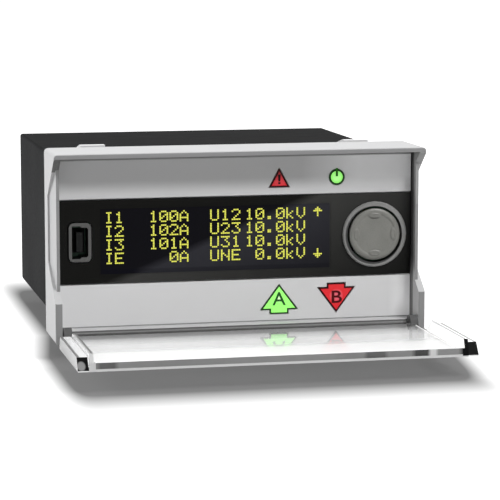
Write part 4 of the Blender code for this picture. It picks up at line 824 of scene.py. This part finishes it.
def clearAcrylic():
    low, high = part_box("door")
    pivot = nodes["door"].matrix_world.translation
    finish = Finish("clearAcrylic")
    x, y, z = finish.axes()
    normalX, normalY, normalZ = finish.normals()
    smear = finish.noise(55.0, 4.0)
    scratch = finish.noise(900.0, 3.0, 0.6, finish.stretched((1.0, 0.2, 1.0)))
    path = finish.add("ShaderNodeLightPath")
    hinge, end, base = high.y - pivot.y, low.y - pivot.y, low.z - pivot.z
    # painted shade near the hinge, in the glass tint and the white layer
    nearHinge = 1 - (hinge - y).ramp(doorLook["hingeFrom"], doorLook["hingeTo"])
    tint = finish.blend(nearHinge, doorLook["tint"], doorLook["hingeShade"])
    worn = doorLook["roughness"] + smear * 0.02 + scratch * 0.02
    glass = finish.add("ShaderNodeBsdfPrincipled", None,
                       {"Base Color": tint, "Roughness": worn, "IOR": doorLook["ior"],
                        "Transmission Weight": 1.0})
    # painted reflection: a white layer on the upward faces, its share rising from the hinge towards the
    # front, stands in for reflected white light, with a faint painted glow in the front zone
    whiteTone = finish.blend(nearHinge, doorLook["reflectedWhite"], doorLook["hingeShade"])
    along = 1 - (y - end).ramp(0.0, hinge - end)
    front = 1 - (y - end).ramp(doorLook["frontZone"], doorLook["frontZone"] + doorLook["frontSoft"])
    front = front * (x.size() < doorLook["railFrom"])
    rising = doorLook["whiteAtHinge"] + along * (doorLook["whiteAtMiddle"] - doorLook["whiteAtHinge"])
    reflectedWhite = finish.add("ShaderNodeBsdfPrincipled", None,
                      {"Base Color": whiteTone, "Roughness": 0.9, "Specular IOR Level": 0.0,
                       "Emission Color": finish.blend(front, doorLook["black"], doorLook["reflectedWhite"]),
                       "Emission Strength": doorLook["frontGlow"]})
    upward = normalZ > 0.6
    whiteShare = (rising + front * (doorLook["whiteAtFront"] - doorLook["whiteAtMiddle"])) * upward
    body = finish.either(whiteShare, glass, reflectedWhite)
    # painted reflections on the lip's front face, the ends of the rails, the ears and the lines along the
    # edges: mostly dark, with painted highlights low on the lip, on one rail end and on a patch of the lip
    forward = normalY < -0.5
    onRail = x.size() > doorLook["railFrom"]
    onEar = (x.size() > doorLook["earFrom"]) * (y > hinge - doorLook["earReach"])
    onLip = forward * (y < end + 0.3 * mm)
    onEnd = forward * onRail * (y < end + 8 * mm) * (z > base + 0.25 * mm)
    tone = finish.blend(smear.ramp(0.3, 0.7) * 0.15, doorLook["lip"], doorLook["black"])
    for centre, half, depth in doorLook["patches"]:
        patch = 1 - (x - centre).size().ramp(half - 0.6 * mm, half + 0.6 * mm)
        tone = finish.blend(patch * depth, tone, doorLook["black"])
    centre, half = doorLook["brightPatch"]
    patch = 1 - (x - centre).size().ramp(half - 0.4 * mm, half + 0.4 * mm)
    tone = finish.blend(patch, tone, doorLook["lipFoot"])
    tone = finish.blend(z < base + doorLook["foot"], tone, doorLook["lipFoot"])
    centre, half, rise = doorLook["endPatch"]
    aside, above = (x - centre) / half, (z - base - rise - half) / half
    endLight = 1 - (aside * aside + above * above).ramp(0.6, 1.2)
    endTone = finish.blend(endLight, doorLook["black"], doorLook["lip"])
    leftRib = (x < 0) * (x > -doorLook["ribFrom"])
    endTone = finish.blend(leftRib, endTone, doorLook["lipFoot"])
    line = (normalZ > 0.25) * (normalZ < 0.9) * (1 - forward) * onRail
    dark = finish.blend(line, tone, doorLook["edgeLine"])
    tone = finish.blend(onEnd, finish.blend(onEar, dark, doorLook["ear"]), endTone)
    # painted reflections: dark lines along the tops of the rails, grey on the left rail's outer face, and a
    # painted glow that makes the right rail paler
    stripes = [(x.size() - place).size() < doorLook["railLineHalf"] for place in doorLook["railLines"]]
    clearOfEar = (y < hinge - doorLook["railReach"]) * (1 - forward)
    alongRail = (stripes[0] + stripes[1]).clamp() * upward * clearOfEar
    leftShare, rightShare = doorLook["railLineShare"]
    stripe = alongRail * (rightShare + (x < 0) * (leftShare - rightShare))
    side = (normalX < -0.5) * (x < doorLook["sideFrom"])
    pale = (x > doorLook["railFrom"]) * clearOfEar * (1 - alongRail)
    tone = finish.blend(alongRail, tone, doorLook["edgeLine"])
    tone = finish.blend(side, finish.blend(pale, tone, doorLook["rightRail"]), doorLook["sideGrey"])
    edge = finish.add("ShaderNodeBsdfPrincipled", None,
                      {"Base Color": tone, "Roughness": 0.4, "Specular IOR Level": 0.02,
                       "Emission Color": finish.blend(pale, doorLook["black"], doorLook["rightRail"]),
                       "Emission Strength": doorLook["rightGlow"]})
    marked = (onLip * doorLook["lipShare"] + onEnd + line * doorLook["lineShare"]
              + onEar * doorLook["earShare"] + stripe + side * doorLook["sideShare"]
              + pale * doorLook["rightShare"]).clamp()
    edged = finish.either(marked, body, edge)
    # scattered light partly passes it, and shadow rays pass it dimmed
    matt = finish.add("ShaderNodeBsdfDiffuse", None, {"Color": doorLook["bounce"]})
    through = finish.add("ShaderNodeBsdfTransparent", None, {"Color": doorLook["tint"]})
    bounce = finish.either(doorLook["bounceShare"], through, matt)
    soft = finish.either(path.outputs["Is Diffuse Ray"], edged, bounce)
    clear = finish.add("ShaderNodeBsdfTransparent", None, {"Color": doorLook["shadow"]})
    finish.close(finish.either(path.outputs["Is Shadow Ray"], soft, clear))
    return finish.material


paint(clearAcrylic(), "door")
print("door cleared")

# Rounded edges on the larger mouldings
edges = {"bezel": 0.25 * mm, "housing": 0.4 * mm, "face_plate": 0.08 * mm, "door": 0.12 * mm,
         "nav_ring": 0.12 * mm, "socket_shell": 0.12 * mm, "rear_cover": 0.15 * mm}
for name, width in edges.items():
    bevel = nodes[name].modifiers.new("roundedEdges", "BEVEL")
    bevel.width = width
    bevel.segments = 2
    bevel.limit_method = "ANGLE"
    bevel.angle_limit = math.radians(40)
    bevel.harden_normals = True

# Floor, light and camera
# The floor's colour near the object, the reaches and starts and the least glow below paint a shadow round the
# object's footprint
studio = {"floorGap": 3.8 * mm, "floorSize": 3.0, "floorWhite": (0.42, 0.42, 0.42),
          "floorBounce": (0.50, 0.50, 0.50), "floorShadowGrey": (0.15, 0.15, 0.15),
          "sideReach": 5.5 * mm, "rightReach": 6 * mm, "leanLength": 55 * mm,
          "leanFront": -1.2 * mm, "leanBack": 6 * mm, "endReach": 25 * mm, "endStart": 1.0 * mm,
          "rearIn": 0.7 * mm, "rearMore": 14 * mm,
          "narrowFrom": -12 * mm, "narrowTo": 20 * mm, "glowLeast": 0.095,
          "glassFloor": 0.81, "ambient": 0.20,
          "lamps": {"topLamp": {"place": (0.0, 0.1, 1.0), "size": 0.7, "power": 2.4},
                    "backLeftLamp": {"place": (-0.85, 0.35, 0.5), "size": 0.6, "power": 6.6},
                    "frontLamp": {"place": (0.45, -0.60, 0.80), "size": 0.35, "power": 7.8}}}


def buildFloor():
    # seen by the camera it fades to pure white away from the object; near it a painted shadow, a darker
    # colour and less glow round the object's footprint, adds to its real shadow
    finish = Finish("floorWhite")
    patch = finish.noise(3.0, 2.0)
    path = finish.add("ShaderNodeLightPath")
    straight = finish.level(path.outputs["Is Camera Ray"])
    mirrored = finish.level(path.outputs["Is Glossy Ray"])
    clear = finish.level(path.outputs["Is Transmission Ray"])
    shown = (straight + mirrored).clamp()
    x, y, z = finish.axes()
    low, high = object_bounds()
    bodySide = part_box("housing")[1].x
    narrowing = high.x - bodySide + studio["rearIn"]
    halfWidth = high.x - y.ramp(studio["narrowFrom"], studio["narrowTo"]) * narrowing
    # on the right the painted shadow is softer, and leans outwards from the front end to the hinge
    right = x > 0
    lean = y.ramp(low.y, low.y + studio["leanLength"])
    halfWidth = halfWidth + right * (studio["leanFront"] + lean * (studio["leanBack"] - studio["leanFront"]))
    rearEnd = high.y + studio["rearMore"]
    middleY, halfLength = (low.y + rearEnd) / 2, (rearEnd - low.y) / 2
    # how far past the footprint, in reaches, with rounded corners: 0.5 at its rim and 1 a reach further out
    sideReach = studio["sideReach"] + right * (studio["rightReach"] - studio["sideReach"])
    endReach = studio["endReach"]
    pastSide = (x.size() - (halfWidth - sideReach)).positive() / (2 * sideReach)
    endFrom = halfLength + studio["endStart"] - endReach
    pastEnd = ((y - middleY).size() - endFrom).positive() / (2 * endReach)
    sideSquare, endSquare = pastSide * pastSide, pastEnd * pastEnd
    fourth = sideSquare * sideSquare + endSquare * endSquare
    away = fourth.power(0.25).ramp(0.5, 1.0)
    white = finish.blend(patch, dimmer(studio["floorWhite"], 0.01), studio["floorWhite"])
    tone = finish.blend(shown, studio["floorBounce"], finish.blend(away, studio["floorShadowGrey"], white))
    lit = shown * (studio["glowLeast"] + away * (1 - studio["glowLeast"])) + clear * studio["glassFloor"]
    finish.shade({"Base Color": finish.blend(clear, tone, (0.0, 0.0, 0.0)),
                  "Emission Color": finish.blend(lit, (0.0, 0.0, 0.0), (1.0, 1.0, 1.0)),
                  "Emission Strength": 1.0, "Roughness": 1.0, "Specular IOR Level": 0.0})
    shape = bmesh.new()
    bmesh.ops.create_grid(shape, x_segments=1, y_segments=1, size=studio["floorSize"])
    mesh = bpy.data.meshes.new("floor")
    shape.to_mesh(mesh)
    shape.free()
    floor = bpy.data.objects.new("floor", mesh)
    floor.location.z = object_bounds()[0].z - studio["floorGap"]
    mesh.materials.append(finish.material)
    bpy.context.scene.collection.objects.link(floor)


def addLamp(name, look):
    lamp = bpy.data.lights.new(name, "AREA")
    lamp.shape = "SQUARE"
    lamp.size = look["size"]
    lamp.energy = look["power"]
    holder = bpy.data.objects.new(name, lamp)
    holder.location = look["place"]
    holder.rotation_euler = Vector(look["place"]).to_track_quat("Z", "Y").to_euler()
    bpy.context.scene.collection.objects.link(holder)


def lightWorld():
    world = bpy.data.worlds.new("studioWorld")
    world.use_nodes = True
    tree = world.node_tree
    tree.nodes.clear()
    output = tree.nodes.new("ShaderNodeOutputWorld")
    path = tree.nodes.new("ShaderNodeLightPath")
    plain = tree.nodes.new("ShaderNodeBackground")
    plain.inputs["Color"].default_value = (1.0, 1.0, 1.0, 1.0)
    plain.inputs["Strength"].default_value = studio["ambient"]
    white = tree.nodes.new("ShaderNodeBackground")
    white.inputs["Color"].default_value = (1.0, 1.0, 1.0, 1.0)
    mix = tree.nodes.new("ShaderNodeMixShader")
    shown = Level(tree, path.outputs["Is Camera Ray"])
    for kind in ("Is Glossy Ray", "Is Transmission Ray"):
        shown = shown + Level(tree, path.outputs[kind])
    tree.links.new(shown.clamp().socket, mix.inputs[0])
    tree.links.new(plain.outputs[0], mix.inputs[1])
    tree.links.new(white.outputs[0], mix.inputs[2])
    tree.links.new(mix.outputs[0], output.inputs["Surface"])
    bpy.context.scene.world = world


view = {"yaw": 12.499, "pitch": 7.901, "focal": 2310.9, "imageWidth": 500, "sensor": 36.0,
        "place": (-123.70 * mm, -584.31 * mm, 79.19 * mm)}


def setCamera():
    lens = bpy.data.cameras.new("camera")
    lens.sensor_width = view["sensor"]
    lens.lens = view["focal"] / view["imageWidth"] * view["sensor"]
    lens.clip_start, lens.clip_end = 0.01, 50.0
    camera = bpy.data.objects.new("camera", lens)
    camera.location = view["place"]
    camera.rotation_euler = (math.radians(90 - view["pitch"]), 0.0, math.radians(-view["yaw"]))
    bpy.context.scene.collection.objects.link(camera)
    bpy.context.scene.camera = camera


buildFloor()
for name, look in studio["lamps"].items():
    addLamp(name, look)
lightWorld()
setCamera()
bpy.context.scene.view_settings.view_transform = "Standard"
print("studio set")
